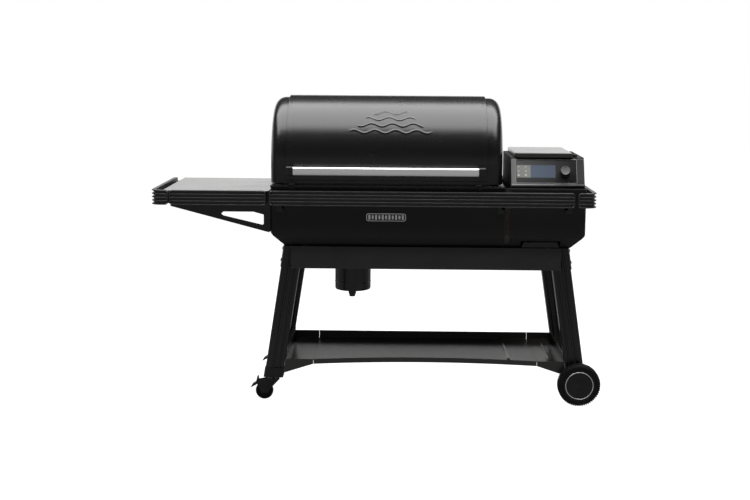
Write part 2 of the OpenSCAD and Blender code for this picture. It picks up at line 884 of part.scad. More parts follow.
// hollow leg cross-section: its front and back each have a channel with two half-round ribs
module leg_section() {
    wall = 3;
    deep = 5;
    x0 = 22 - leg_w / 2;
    x1 = leg_w / 2 - 8;
    rib_xs = [x0 + 11, x1 - 11];
    rib_rs = [5, 4];
    difference() {
        leg_outline(0);
        difference() {
            leg_outline(-wall);
            both_leg_faces() leg_channel(x0 - wall, x1 + wall, deep + wall);
        }
        both_leg_faces() leg_channel(x0, x1, deep);
    }
    both_leg_faces() for (i = [0:1])
        translate([rib_xs[i], leg_d / 2 - rib_rs[0] - 0.2]) circle(rib_rs[i]);
}

// front left leg prism, cut level at z0 and z1
module splayed(z0, z1) {
    intersection() {
        translate([leg_x(leg_top), -leg_y, leg_top]) rotate([0, splay, 0])
            translate([0, 0, -700]) linear_extrude(1400) children();
        box(-900, 900, -400, 0, z0, z1);
    }
}

left_leg_foot = 100;
right_leg_foot = 56;

module left_legs() color("#1e1e20") front_and_back() splayed(left_leg_foot, leg_top) leg_section();

module right_legs() color("#1e1e20") difference() {
    front_and_back() cart_right() splayed(right_leg_foot, leg_top) leg_section();
    axle_hole(axle_r + 0.2);
}

module axle_hole(r) {
    rod_y(-half_d, half_d, wheel_x, wheel_r, r);
}

// outer half sleeve around the top of each leg
module sleeve() {
    tall = 85;
    splayed(leg_top - tall, leg_top) intersection() {
        difference() {
            leg_outline(sleeve_t);
            leg_outline(0);
        }
        translate([-leg_w, -leg_d]) square([leg_w - 18, 2 * leg_d]);
    }
}

module leg_sleeves() color("#232326") front_and_back() {
    sleeve();
    cart_right() sleeve();
}

module foot(z0, z1) {
    floor_t = 6;
    splayed(z0, z1) difference() {
        leg_outline(foot_t);
        leg_outline(0);
    }
    splayed(z0 - floor_t, z0) leg_outline(foot_t);
}

module foot_caps() color("#161617") {
    front_and_back() {
        foot(left_leg_foot, left_leg_foot + 34);
        rod_z(caster_top - 12, left_leg_foot - 5, swivel_x, -leg_y, 6);
    }
    difference() {
        front_and_back() cart_right() foot(right_leg_foot, right_leg_foot + 44);
        axle_hole(axle_r + 0.2);
    }
}

// sheet beam with an upright web and short flanges between the legs
module frame_beams() color("#3a3b3d") front_and_back() {
    web_y = -leg_y - leg_d / 2;
    z0 = leg_top - beam_h;
    box(beam_left, beam_right, web_y - beam_t, web_y, z0, leg_top);
    for (z = [z0, leg_top - beam_t])
        box(beam_left + 68, beam_right - 68, web_y - 1, web_y + 44, z, z + beam_t);
}

// --- bottom shelf ---
deck_t = 3;
lip_h = 20;
back_h = 29;

// how far the middle of the centre's front edge is set back
deck_bow = 45;

// floor and back lip of a stretch of the shelf
module deck(x0, x1) {
    box(x0, x1, deck_front, deck_back, shelf_z - deck_t, shelf_z);
    box(x0, x1, deck_back - deck_t, deck_back, shelf_z - 1, shelf_z + back_h);
}

// upright drum whose back edge is the bowed front of the centre, moved back by inset
module bow_drum(inset) {
    half = (deck_seams[1] - deck_seams[0]) / 2;
    r = (half * half + deck_bow * deck_bow) / (2 * deck_bow);
    rod_z(shelf_z - 2 * lip_h, shelf_z + lip_h, deck_seams[0] + half, deck_front + deck_bow - r + inset, r);
}

// pressed stiffening bead, half a rod with round ends
module bead(x) {
    y0 = deck_front + 40;
    y1 = deck_back - 32;
    r = 6;
    intersection() {
        translate([0, 0, shelf_z - 1]) union() {
            rod_y(y0, y1, x, 0, r);
            for (y = [y0, y1]) translate([x, y, 0]) sphere(r);
        }
        box(x - r, x + r, y0 - r, y1 + r, shelf_z - 1, shelf_z + r);
    }
}

// centre of the shelf: bowed front lip, and a tab under each seam that carries the neighbouring end
module bottom_shelf_centre() color("#4a4743") {
    tab = 12;
    x0 = deck_seams[0];
    x1 = deck_seams[1];
    difference() {
        deck(x0, x1);
        bow_drum(0);
    }
    intersection() {
        difference() {
            bow_drum(deck_t);
            bow_drum(0);
        }
        box(x0, x1, deck_front, deck_front + 2 * deck_bow, shelf_z - lip_h, shelf_z);
    }
    for (x = deck_seams)
        box(x - tab, x + tab, deck_front + 3 * deck_t, deck_back, shelf_z - 2 * deck_t, shelf_z - deck_t);
    bead(528);
}

// left end of the shelf: a gusset lip that deepens towards the leg and a flange along the leg
module deck_end(x1) {
    half = leg_w / 2 / cos(splay) + 0.5;
    edge = leg_x(shelf_z) + half;
    low = 114;
    high = shelf_z + 34;
    deck(edge, x1);
    along_y(deck_front, deck_front + deck_t) polygon([
        [edge, shelf_z - 1], [leg_x(low) + half + 4, low], [x1, shelf_z - lip_h], [x1, shelf_z - 1]
    ]);
    along_y(deck_front, leg_y - leg_d / 2) polygon([
        [edge, shelf_z - deck_t], [edge + 4, shelf_z - deck_t],
        [leg_x(high) + half + 3, high], [leg_x(high) + half, high]
    ]);
}

module bottom_shelf_left() color("#4a4743") deck_end(deck_seams[0] - 1);

module bottom_shelf_right() color("#4a4743") {
    cart_right() deck_end(2 * cart_x - deck_seams[1] - 1);
    bead(690);
}

// --- large wheels ---
module axle() color("#8a8b8d") rod_y(-wheel_in - wheel_w + 10, wheel_in + wheel_w - 10, wheel_x, wheel_r, axle_r);

// front wheel with a ribbed tread shoulder and a shallow pocket for its cap
module wheel() {
    y0 = -wheel_in - wheel_w;
    ribs = 60;
    difference() {
        rod_y(y0, -wheel_in, wheel_x, wheel_r, wheel_r);
        rod_y(y0 - 1, y0 + 8, wheel_x, wheel_r, wheel_r * 0.75);
        rod_y(-wheel_in - 12, -wheel_in + 1, wheel_x, wheel_r, wheel_r * 0.7);
        axle_bore();
        for (i = [0:ribs - 1])
            translate([wheel_x, y0 - 1, wheel_r]) rotate([0, i * 360 / ribs, 0])
                translate([wheel_r - 2.5, 0, -1.5]) cube([4, 13, 3]);
    }
    difference() {
        rod_y(-wheel_in - 12, -wheel_in, wheel_x, wheel_r, 22);
        axle_bore();
    }
}

module axle_bore() {
    rod_y(-half_d - wheel_w, -leg_y, wheel_x, wheel_r, axle_r + running);
}

module wheel_cap() {
    y0 = -wheel_in - wheel_w;
    difference() {
        rod_y(y0 + 1, y0 + 8, wheel_x, wheel_r, wheel_r * 0.75);
        translate([wheel_x, y0, wheel_r]) rotate([-90, 0, 0]) rotate_extrude()
            translate([wheel_r * 0.62, 0]) square([wheel_r * 0.03, 2.5]);
    }
}

module front_wheel() color("#18181a") wheel();
module rear_wheel() color("#18181a") mirror([0, 1, 0]) wheel();
module front_wheel_cap() color("#2c2d30") wheel_cap();
module rear_wheel_cap() color("#2c2d30") mirror([0, 1, 0]) wheel_cap();

// --- grease and ash keg ---
module keg() color("#1a1a1c") {
    wall = 2;
    strap_w = 31;
    difference() {
        rod_z(keg_bottom, keg_top, keg_x, 0, keg_r);
        rod_z(keg_bottom + wall, keg_top + 1, keg_x, 0, keg_r - wall);
    }
    box(keg_x - strap_w / 2, keg_x + strap_w / 2, -keg_r - 7, -keg_r + 2.5, keg_bottom - 8, keg_top - 8);
    along_y(-keg_r - 7, -keg_r + 2.5)
        round_rect(keg_x - strap_w / 2 + 3, keg_x + strap_w / 2 - 3, keg_bottom - 19, keg_bottom, 6);
}

// --- casters: drawn for the front left leg ---
fork_y = 13;
caster_x = swivel_x - caster_trail;
brake_x = caster_x - 25;
brake_z = 72;

module caster_fork() {
    cheek = 3;
    difference() {
        union() {
            rod_z(caster_top - 8, caster_top, swivel_x, -leg_y, 25);
            for (y = [-fork_y - cheek, fork_y]) translate([0, -leg_y, 0]) along_y(y, y + cheek) polygon([
                [swivel_x + 24, caster_top], [swivel_x + 24, caster_top - 5], [swivel_x - 6, 50],
                [caster_x + 13, 27], [caster_x - 13, 27], [caster_x - 20, 45],
                [brake_x - 5, brake_z - 5], [brake_x - 3, brake_z + 6], [swivel_x - 14, caster_top]
            ]);
        }
        rod_z(caster_top - 20, caster_top + 1, swivel_x, -leg_y, 6 + running);
    }
    rod_y(-leg_y - fork_y - 5, -leg_y + fork_y + 5, caster_x, caster_r, 4);
    rod_y(-leg_y - fork_y - 1, -leg_y + fork_y + 1, brake_x, brake_z, 2.5);
}

module caster_wheel() difference() {
    rod_y(-leg_y - 11, -leg_y + 11, caster_x, caster_r, caster_r);
    front_and_back_of(-leg_y) rod_y(-leg_y - 12, -leg_y - 8, caster_x, caster_r, caster_r * 0.72);
    rod_y(-leg_y - 12, -leg_y + 12, caster_x, caster_r, 4 + running);
}

module front_and_back_of(y) {
    children();
    translate([0, 2 * y, 0]) mirror([0, 1, 0]) children();
}

module caster_brake() difference() {
    along_y(-leg_y - fork_y + 1, -leg_y + fork_y - 1) polygon([
        [brake_x - 3, 95], [brake_x, 95], [brake_x + 5, brake_z], [brake_x - 4, brake_z - 10],
        [brake_x - 31, brake_z - 25], [brake_x - 22, brake_z - 9], [brake_x - 9, brake_z - 2]
    ]);
    rod_y(-leg_y - fork_y, -leg_y + fork_y, brake_x, brake_z, 2.5 + running);
}

module front_caster_fork() color("#1d1d1f") caster_fork();
module front_caster_wheel() color("#232325") caster_wheel();
module front_caster_brake() color("#1a1a1b") caster_brake();
module rear_caster_fork() color("#1d1d1f") mirror([0, 1, 0]) caster_fork();
module rear_caster_wheel() color("#232325") mirror([0, 1, 0]) caster_wheel();
module rear_caster_brake() color("#1a1a1b") mirror([0, 1, 0]) caster_brake();

barrel_shell();
barrel_liner();
barrel_rim();
lid_bumpers();
vent_strip();
exhaust_duct();
badge();
main_grate();
upper_grate();
drip_tray();
heat_baffle();
fire_pot();
auger_tube();
auger_screw();
auger_motor();
fan_housing();
fan_impeller();
hopper_housing();
hopper_bin();
cleanout_gate();
hopper_lid();
control_bezel();
control_panel();
display();
knob();
lid_skin();
lid_end_caps();
lid_liner();
lid_handle_bar();
lid_handle_ends();
lid_hinge_arms();
lid_hinge_bases();
front_rail();
shelf_front_rail();
left_side_rail();
right_side_rail();
rail_brackets();
shelf_panel();
shelf_brackets();
bolt_heads();
frame_beams();
left_legs();
right_legs();
leg_sleeves();
foot_caps();
bottom_shelf_centre();
bottom_shelf_left();
bottom_shelf_right();
axle();
front_wheel();
rear_wheel();
front_wheel_cap();
rear_wheel_cap();
keg();
front_caster_fork();
front_caster_wheel();
front_caster_brake();
rear_caster_fork();
rear_caster_wheel();
rear_caster_brake();
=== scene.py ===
"""Looks for the pellet smoker grill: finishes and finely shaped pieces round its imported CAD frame."""

import json
from math import ceil, cos, pi, radians, sin

import bmesh
import bpy
from mathutils import Matrix, Vector


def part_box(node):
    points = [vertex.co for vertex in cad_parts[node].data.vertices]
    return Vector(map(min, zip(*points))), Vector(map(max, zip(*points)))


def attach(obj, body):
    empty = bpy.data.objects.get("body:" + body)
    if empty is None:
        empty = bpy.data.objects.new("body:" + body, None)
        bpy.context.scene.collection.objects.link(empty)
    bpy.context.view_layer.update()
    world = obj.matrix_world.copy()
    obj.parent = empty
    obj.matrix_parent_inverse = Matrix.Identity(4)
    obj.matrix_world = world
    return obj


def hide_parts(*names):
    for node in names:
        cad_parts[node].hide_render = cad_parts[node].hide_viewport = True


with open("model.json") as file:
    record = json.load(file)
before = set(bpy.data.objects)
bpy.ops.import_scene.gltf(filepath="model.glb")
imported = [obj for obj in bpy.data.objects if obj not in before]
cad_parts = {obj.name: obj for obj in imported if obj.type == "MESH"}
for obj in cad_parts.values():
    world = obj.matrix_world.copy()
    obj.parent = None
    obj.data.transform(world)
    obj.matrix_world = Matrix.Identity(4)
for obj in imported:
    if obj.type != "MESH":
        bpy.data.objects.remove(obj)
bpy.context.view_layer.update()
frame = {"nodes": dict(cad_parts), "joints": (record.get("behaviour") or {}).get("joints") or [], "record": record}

mm = 0.001
record = frame["record"]
joints = {joint["name"]: joint for joint in frame["joints"]}
body_of = {node: body for body, nodes in record["behaviour"]["bodies"].items() for node in nodes}
slot_of = {row["node"]: row["material_slot"] for row in record["subparts"]}
colour_of = {row["slot"]: row["base_color"] for row in record["materials"]}


# --- materials -------------------------------------------------------------------------------------


class Recipe:
    """Builds one node material; every helper returns the output socket that it made."""

    def __init__(self, slot):
        self.material = bpy.data.materials.new(slot)
        self.material.use_nodes = True
        self.tree = self.material.node_tree
        self.surface = self.tree.nodes["Principled BSDF"]
        self.place = self.node("ShaderNodeTexCoord").outputs["Object"]

    def node(self, kind, **settings):
        made = self.tree.nodes.new(kind)
        for name, value in settings.items():
            setattr(made, name, value)
        return made

    def feed(self, socket, value):
        if hasattr(value, "is_output"):
            self.tree.links.new(value, socket)
        else:
            socket.default_value = value

    def set(self, name, value):
        self.feed(self.surface.inputs[name], value)

    def stretched(self, scales):
        """The object's own coordinates, scaled along each axis."""
        mapping = self.node("ShaderNodeMapping")
        self.feed(mapping.inputs["Vector"], self.place)
        mapping.inputs["Scale"].default_value = scales
        return mapping.outputs["Vector"]

    def noise(self, size, detail=3.0, place=None, rough=0.55):
        """Noise whose blobs are about size metres across, from 0 to 1."""
        made = self.node("ShaderNodeTexNoise")
        self.feed(made.inputs["Vector"], place or self.place)
        made.inputs["Scale"].default_value = 1 / size
        made.inputs["Detail"].default_value = detail
        made.inputs["Roughness"].default_value = rough
        return made.outputs["Fac"]

    def spots(self, size):
        """Distance from the middles of cells about size metres across."""
        made = self.node("ShaderNodeTexVoronoi")
        self.feed(made.inputs["Vector"], self.place)
        made.inputs["Scale"].default_value = 1 / size
        return made.outputs["Distance"]

    def spread(self, value, low, high, start=0.3, end=0.7):
        """Maps start..end of a value onto low..high."""
        made = self.node("ShaderNodeMapRange")
        self.feed(made.inputs["Value"], value)
        made.inputs["From Min"].default_value = start
        made.inputs["From Max"].default_value = end
        made.inputs["To Min"].default_value = low
        made.inputs["To Max"].default_value = high
        return made.outputs["Result"]

    def times(self, a, b):
        made = self.node("ShaderNodeMath", operation="MULTIPLY")
        self.feed(made.inputs[0], a)
        self.feed(made.inputs[1], b)
        return made.outputs[0]

    def mix(self, share, low, high):
        """Colour that goes from low to high as share goes from 0 to 1."""
        made = self.node("ShaderNodeMix", data_type="RGBA")
        self.feed(made.inputs["Factor"], share)
        self.feed(made.inputs["A"], low if hasattr(low, "is_output") else (*low, 1))
        self.feed(made.inputs["B"], high if hasattr(high, "is_output") else (*high, 1))
        return made.outputs["Result"]

    def wear_and_highlight(self):
        """1 on rubbed rounded edges of a softened piece and on the bezel's window ridge (painted highlight), 0.7
        on rail crests (painted highlight with rubbed wear), 0 elsewhere.
        """
        return self.node("ShaderNodeAttribute", attribute_name="wear_and_highlight").outputs["Fac"]

    def along(self, axis):
        """Position along one axis, in metres."""
        apart = self.node("ShaderNodeSeparateXYZ")
        self.feed(apart.inputs[0], self.place)
        return apart.outputs[axis]

    def grey(self, tone):
        made = self.node("ShaderNodeCombineColor")
        for part in ("Red", "Green", "Blue"):
            self.feed(made.inputs[part], tone)
        return made.outputs["Color"]

    def bump(self, height, depth):
        """Surface tilt from a height of 0 to 1 that stands for depth metres."""
        made = self.node("ShaderNodeBump")
        made.inputs["Strength"].default_value = 1.0
        made.inputs["Distance"].default_value = depth
        self.feed(made.inputs["Height"], height)
        return made.outputs["Normal"]


def shade(colour, factor):
    return tuple(min(1.0, part * factor) for part in colour)


def coat(slot, rough, grain, depth, vary=0.12, shine=0.5, edge=2.2, dark=1.0):
    """Powder coat or paint: fine orange peel, cloudy tone, pale flecks, edges rubbed slightly bright and a painted
    highlight on rail crests.

    grain is the peel's size and depth its height; vary is how cloudy the tone is; edge is how much paler rubbed
    edges and painted crest highlights are; dark scales the slot's colour.
    """
    r = Recipe(slot)
    colour = shade(colour_of[slot], dark)
    clouds = r.noise(180 * mm, 4.0)
    tone = r.mix(r.spread(clouds, 0, 1), shade(colour, 1 - vary), shade(colour, 1 + vary))
    flecks = r.spread(r.noise(grain * 1.7, 1.0), 0, 0.5, 0.62, 0.8)
    tone = r.mix(flecks, tone, shade(colour, 2.2))
    # Paler marked faces: rubbed wear on edges, and on rail crests a painted highlight as well.
    rubbed_and_highlit = r.times(r.wear_and_highlight(), r.spread(r.noise(30 * mm, 5.0), 0.25, 1, 0.4, 0.65))
    r.set("Base Color", r.mix(rubbed_and_highlit, tone, shade(colour, edge)))
    sheen_change = 0.012
    r.set("Roughness", r.spread(r.noise(250 * mm, 4.0), rough - sheen_change, rough + sheen_change))
    r.set("Specular IOR Level", shine)
    r.set("Normal", r.bump(r.noise(grain, 2.0), depth))
    return r.material


def brushed(slot, rough, metal=0.55, dark=1.0):
    """Metal with fine scratches along the X axis, and smears that change its sheen."""
    r = Recipe(slot)
    colour = shade(colour_of[slot], dark)
    scratch = 0.6 * mm
    scratch_length = 120 * mm
    lines = r.noise(scratch, 3.0, r.stretched((scratch / scratch_length, 1, 1)), 0.7)
    smears = r.noise(60 * mm, 3.0)
    r.set("Base Color", r.mix(r.spread(lines, 0, 1), shade(colour, 0.9), shade(colour, 1.08)))
    r.set("Metallic", metal)
    r.set("Roughness", r.spread(smears, rough - 0.02, rough + 0.02))
    r.set("Normal", r.bump(lines, 0.008 * mm))
    return r.material


def moulded(slot, rough, grain, depth, shine=0.5, dark=1.0):
    """Plastic or rubber with a moulded grain, pale dust and handling marks."""
    r = Recipe(slot)
    colour = shade(colour_of[slot], dark)
    dust = r.spread(r.noise(50 * mm, 5.0), 0, 1, 0.45, 0.75)
    r.set("Base Color", r.mix(dust, colour, shade(colour, 1.7)))
    r.set("Roughness", r.spread(r.noise(20 * mm, 4.0), rough - 0.06, rough + 0.08))
    r.set("Specular IOR Level", shine)
    r.set("Normal", r.bump(r.spots(grain), depth))
    return r.material


def panel_light_ramp(r, left, right, foot):
    """Painted light from left to right over the control glass, cut to the share foot at its lower edge."""
    low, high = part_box("control_panel")
    sideways = r.spread(r.along("X"), left, right, low.x, high.x)
    return r.times(sideways, r.spread(r.along("Z"), foot, 1, low.z, high.z))


def glass_panel(slot):
    """Printed black glass with faint finger smears and a painted reflection, paler at its left end and darker at
    its foot.
    """
    r = Recipe(slot)
    # Painted reflection: paler at the left end, darker towards the lower edge.
    painted_light = r.grey(panel_light_ramp(r, 0.11, 0.018, 0.4))
    smears = r.noise(25 * mm, 6.0)
    r.set("Base Color", r.mix(r.spread(smears, 0, 0.12), painted_light, (0.08, 0.08, 0.085)))
    r.set("Roughness", r.spread(smears, 0.10, 0.22))
    r.set("Coat Weight", 0.4)
    r.set("Coat Roughness", 0.06)
    return r.material


def bezel_plastic(name):
    """Grained dark grey plastic with painted light, greyer at the left end of the control head, and a painted
    highlight on the window ridge.
    """
    r = Recipe(name)
    # Painted light, greyer at the left end; the marked ridge faces go pale as a painted highlight.
    painted_light = r.grey(panel_light_ramp(r, 0.14, 0.02, 1))
    r.set("Base Color", r.mix(r.times(r.wear_and_highlight(), 0.8), painted_light, (0.26, 0.26, 0.265)))
    r.set("Roughness", r.spread(r.noise(30 * mm, 4.0), 0.34, 0.44))
    r.set("Normal", r.bump(r.noise(0.9 * mm, 2.0), 0.05 * mm))
    return r.material


def unlit_screen(slot):
    """Screen that is off: blue-grey with a painted reflection, paler towards its left end, under a smooth cover.
    """
    r = Recipe(slot)
    colour = colour_of[slot]
    low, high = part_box("display")
    across = r.spread(r.along("X"), 0, 1, low.x, high.x)
    # Painted reflection: paler at the left end, darker at the right.
    tone = r.mix(across, shade(colour, 1.25), shade(colour, 0.8))
    pixels = r.noise(0.9 * mm, 1.0)
    r.set("Base Color", r.mix(r.spread(pixels, 0, 0.35), tone, shade(colour, 1.5)))
    r.set("Roughness", r.spread(r.noise(30 * mm, 5.0), 0.16, 0.26))
    return r.material


def plain_print(name, colour, rough):
    """Screen print: even colour broken by faint dust and smears."""
    r = Recipe(name)
    smears = r.noise(40 * mm, 3.0)
    r.set("Base Color", r.mix(r.spread(smears, 0, 1), shade(colour, 0.94), shade(colour, 1.06)))
    r.set("Roughness", r.spread(smears, rough - 0.05, rough + 0.08))
    return r.material


def enamel(slot, speckle):
    """Porcelain enamel: glossy, pitted, with pale speckles and cooking soot."""
    r = Recipe(slot)
    dots = r.spread(r.spots(4 * mm), 1, 0, 0.05, 0.16)
    pale = (0.5, 0.5, 0.48)
    tone = r.mix(r.times(dots, speckle), colour_of[slot], pale)
    soot = r.spread(r.noise(110 * mm, 6.0), 0, 0.8, 0.42, 0.62)
    soot_colour = (0.012, 0.010, 0.008)
    r.set("Base Color", r.mix(soot, tone, soot_colour))
    r.set("Roughness", r.spread(soot, 0.3, 0.62, 0, 1))
    r.set("Normal", r.bump(r.noise(2.5 * mm, 4.0), 0.2 * mm))
    return r.material


def fired(slot):
    """Heavy steel browned and scaled by the fire, with ash on it."""
    r = Recipe(slot)
    patches = r.noise(30 * mm, 8.0, rough=0.65)
    rust = (0.10, 0.048, 0.022)
    ash = (0.16, 0.15, 0.14)
    scaled = r.mix(r.spread(patches, 0, 1, 0.42, 0.6), colour_of[slot], rust)
    dusty = r.spread(r.noise(12 * mm, 5.0), 0, 0.5, 0.55, 0.7)
    r.set("Base Color", r.mix(dusty, scaled, ash))
    r.set("Roughness", r.spread(patches, 0.7, 0.95))
    r.set("Normal", r.bump(patches, 0.8 * mm))
    return r.material


materials = {
    "satin_black_steel": coat(
        "satin_black_steel", rough=0.27, grain=1.3 * mm, depth=0.07 * mm, vary=0.06, shine=0.55, dark=0.45
    ),
    "textured_black_steel": coat(
        "textured_black_steel", rough=0.52, grain=1.6 * mm, depth=0.30 * mm, shine=0.35, dark=0.8
    ),
    "dark_grey_steel": coat("dark_grey_steel", rough=0.55, grain=1.6 * mm, depth=0.28 * mm, shine=0.4),
    # Its paler edge tone also paints the highlight on the rail crests.
    "rail_black": coat("rail_black", rough=0.34, grain=1.0 * mm, depth=0.06 * mm, shine=0.6, edge=3),
    "shelf_coat": coat("shelf_coat", rough=0.22, grain=1.2 * mm, depth=0.04 * mm, vary=0.06, dark=0.8),
    "vent_brown": coat(
        "vent_brown", rough=0.65, grain=1.0 * mm, depth=0.12 * mm, shine=0.3, edge=1.5, dark=1.4
    ),
    "liner_steel": enamel("liner_steel", speckle=0.5),
    "grate_enamel": enamel("grate_enamel", speckle=0.12),
    "fire_steel": fired("fire_steel"),
    "plain_steel": brushed("plain_steel", rough=0.36),
    "stainless": brushed("stainless", rough=0.34, metal=0.65, dark=1.25),
    "badge_metal": brushed("badge_metal", rough=0.36, metal=0.9, dark=1.8),
    "knob_metal": brushed("badge_metal", rough=0.46, dark=0.3),
    "black_plastic": moulded(
        "black_plastic", rough=0.42, grain=0.9 * mm, depth=0.06 * mm, shine=0.35, dark=0.5
    ),
    "rubber_black": moulded("rubber_black", rough=0.72, grain=1.4 * mm, depth=0.12 * mm, shine=0.35),
    "wheel_black": moulded("wheel_black", rough=0.55, grain=1.2 * mm, depth=0.10 * mm, shine=0.22, dark=0.4),
    "bezel_plastic": bezel_plastic("bezel_plastic"),
    "gloss_black": glass_panel("gloss_black"),
    "screen": unlit_screen("screen"),
    "key_field": plain_print("key_field", colour=(0.215, 0.215, 0.20), rough=0.3),
    "printed_marks": plain_print("printed_marks", colour=(0.62, 0.62, 0.60), rough=0.5),
}


# --- mesh helpers ----------------------------------------------------------------------------------


def add_piece(name, bm, body, slot, nodes=(), smooth_to=38, finish=None):
    """Turns a bmesh into a shown piece that rides on a body and stands for CAD nodes."""
    bmesh.ops.recalc_face_normals(bm, faces=bm.faces)
    for face in bm.faces:
        face.smooth = True
    for edge in bm.edges:
        edge.smooth = edge.is_manifold and edge.calc_face_angle(0) < radians(smooth_to)
    mesh = bpy.data.meshes.new(name)
    bm.to_mesh(mesh)
    bm.free()
    mesh.materials.append(materials[finish or slot])
    piece = bpy.data.objects.new(name, mesh)
    bpy.context.scene.collection.objects.link(piece)
    weigh = piece.modifiers.new("even shading", "WEIGHTED_NORMAL")
    weigh.keep_sharp = True
    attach(piece, body)
    if nodes:
        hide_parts(*nodes)
    return piece


def round_edges(bm, edges, width, segments):
    """Rounds some edges of a bmesh and returns the faces made."""
    made = bmesh.ops.bevel(
        bm,
        geom=edges,
        offset=width,
        offset_type="OFFSET",
        segments=segments,
        profile=0.5,
        affect="EDGES",
        clamp_overlap=False,
    )
    return made["faces"]


def soften(bm, width, segments=2, sharper_than=30):
    """Rounds a bmesh's sharp edges and marks the rounded faces as worn."""
    wear_and_highlight = bm.faces.layers.float.new("wear_and_highlight")
    sharp = [e for e in bm.edges if e.is_manifold and e.calc_face_angle(0) > radians(sharper_than)]
    for face in round_edges(bm, sharp, width, segments):
        face[wear_and_highlight] = 1.0


def cad_bmesh(node):
    """A CAD node's mesh with its points joined and its flat faces made whole."""
    bm = bmesh.new()
    bm.from_mesh(frame["nodes"][node].data)
    bmesh.ops.remove_doubles(bm, verts=bm.verts, dist=0.01 * mm)
    bmesh.ops.dissolve_limit(bm, angle_limit=radians(0.5), verts=bm.verts, edges=bm.edges)
    return bm


def softened(node, width, segments=2):
    """The CAD node's own shape with rounded, lightly worn edges."""
    bm = cad_bmesh(node)
    soften(bm, width, segments)
    return add_piece(node + "_formed", bm, body_of[node], slot_of[node], [node])


def turn(bm, profile, place, steps=96, closed=True, shape=None):
    """Adds a shape turned about place's Z axis from (radius, height) points; shape() may change a radius."""
    rings = []
    for i in range(steps):
        angle = 2 * pi * i / steps
        ring = []
        for radius, height in profile:
            if shape:
                radius = shape(angle, radius, height)
            ring.append(bm.verts.new(place @ Vector((radius * cos(angle), radius * sin(angle), height))))
        rings.append(ring)
    spans = len(profile) if closed else len(profile) - 1
    for i in range(steps):
        here, there = rings[i], rings[(i + 1) % steps]
        for j in range(spans):
            k = (j + 1) % len(profile)
            bm.faces.new((here[j], there[j], there[k], here[k]))
    bmesh.ops.remove_doubles(bm, verts=bm.verts, dist=0.001 * mm)
    bmesh.ops.dissolve_degenerate(bm, dist=0.001 * mm, edges=bm.edges)


def round_outline(x0, x1, y0, y1, r, inset=0.0, steps=6):
    """Points of a rectangle with round corners, anticlockwise."""
    r = max(r, inset + 0.05 * mm)
    points = []
    corners = ((x1 - r, y1 - r, 0), (x0 + r, y1 - r, 90), (x0 + r, y0 + r, 180), (x1 - r, y0 + r, 270))
    for cx, cy, start in corners:
        for i in range(steps + 1):
            angle = radians(start + 90 * i / steps)
            points.append((cx + (r - inset) * cos(angle), cy + (r - inset) * sin(angle)))
    return points


def layered(bm, outline, layers, place):
    """Adds a closed plate whose outline steps through (inset, height) layers; outline(inset) gives points."""
    loops = []
    for inset, height in layers:
        loops.append([bm.verts.new(place @ Vector((x, y, height))) for x, y in outline(inset)])
    for low, high in zip(loops, loops[1:]):
        for i in range(len(low)):
            k = (i + 1) % len(low)
            bm.faces.new((low[i], low[k], high[k], high[i]))
    bm.faces.new(list(reversed(loops[0])))
    bm.faces.new(loops[-1])


def rod(bm, start, end, r, steps=10):
    """Adds a straight round bar with softly closed ends."""
    start, end = Vector(start), Vector(end)
    way = end - start
    place = Matrix.Translation(start) @ way.to_track_quat("Z", "X").to_matrix().to_4x4()
    length = way.length
    soft = 0.35 * r
    profile = [(0, 0), (r - soft, 0), (r, soft), (r, length - soft), (r - soft, length), (0, length)]
    turn(bm, profile, place, steps, closed=False)


def frame_at(point, axis, side=(1, 0, 0)):
    """A place whose Z runs along axis and whose X lies near side."""
    z = Vector(axis).normalized()
    x = (Vector(side) - Vector(side).dot(z) * z).normalized()
    y = z.cross(x)
    turned = Matrix((x, y, z)).transposed().to_4x4()
    return Matrix.Translation(Vector(point)) @ turned


def front_place(y):
    """A place on an upright front face: X right, Y up, Z towards the front."""
    return frame_at((0, y, 0), (0, -1, 0))


def box_in(place, node):
    """Lowest and highest corner of a CAD node in a place's own axes."""
    back = place.inverted()
    points = [back @ vertex.co for vertex in frame["nodes"][node].data.vertices]
    low = Vector(min(p[k] for p in points) for k in range(3))
    high = Vector(max(p[k] for p in points) for k in range(3))
    return low, high


def rounded_bar(bm, place, x0, x1, y0, y1, z0, z1, r):
    """Adds a bar along place's X with a round-cornered section and softly closed ends."""
    lengthwise = place @ Matrix(((0, 0, 1, 0), (1, 0, 0, 0), (0, 1, 0, 0), (0, 0, 0, 1)))
    soft = 0.35 * r
    layers = ((soft, x0), (0.3 * soft, x0 + 0.3 * soft), (0, x0 + soft))
    layers += ((0, x1 - soft), (0.3 * soft, x1 - 0.3 * soft), (soft, x1))
    layered(bm, lambda inset: round_outline(y0, y1, z0, z1, r, inset), layers, lengthwise)


def plate(bm, place, area, r, z0, z1, soft):
    """Adds a thin plate with a rounded upper edge; area is (x0, x1, y0, y1)."""
    layers = ((0, z0), (0, z1 - soft), (0.3 * soft, z1 - 0.3 * soft), (soft, z1))
    layered(bm, lambda inset: round_outline(*area, r, inset), layers, place)


def area_of(low, high, inset=0.0):
    """The (x0, x1, y0, y1) of a box, made smaller all round by inset."""
    return (low.x + inset, high.x - inset, low.y + inset, high.y - inset)


# --- lid: one bent sheet with rolled rims, pressed hem lines and pressed wave lines --------------------

# The skin goes up a front wall, over a half-round top and down a back wall; s is the way along it.
lid_low, lid_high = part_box("lid_skin")
lid_r = lid_high.y
lid_axis_z = lid_high.z - lid_r
lid_wall = lid_axis_z - lid_low.z
lid_arc = pi * lid_r
lid_sheet = 1.5 * mm
lid_fold = 6 * mm
rim_roll = 2 * mm
edge_drop = 8 * mm
hem = 13 * mm
hem_half = 2.2 * mm
hem_depth = 0.7 * mm

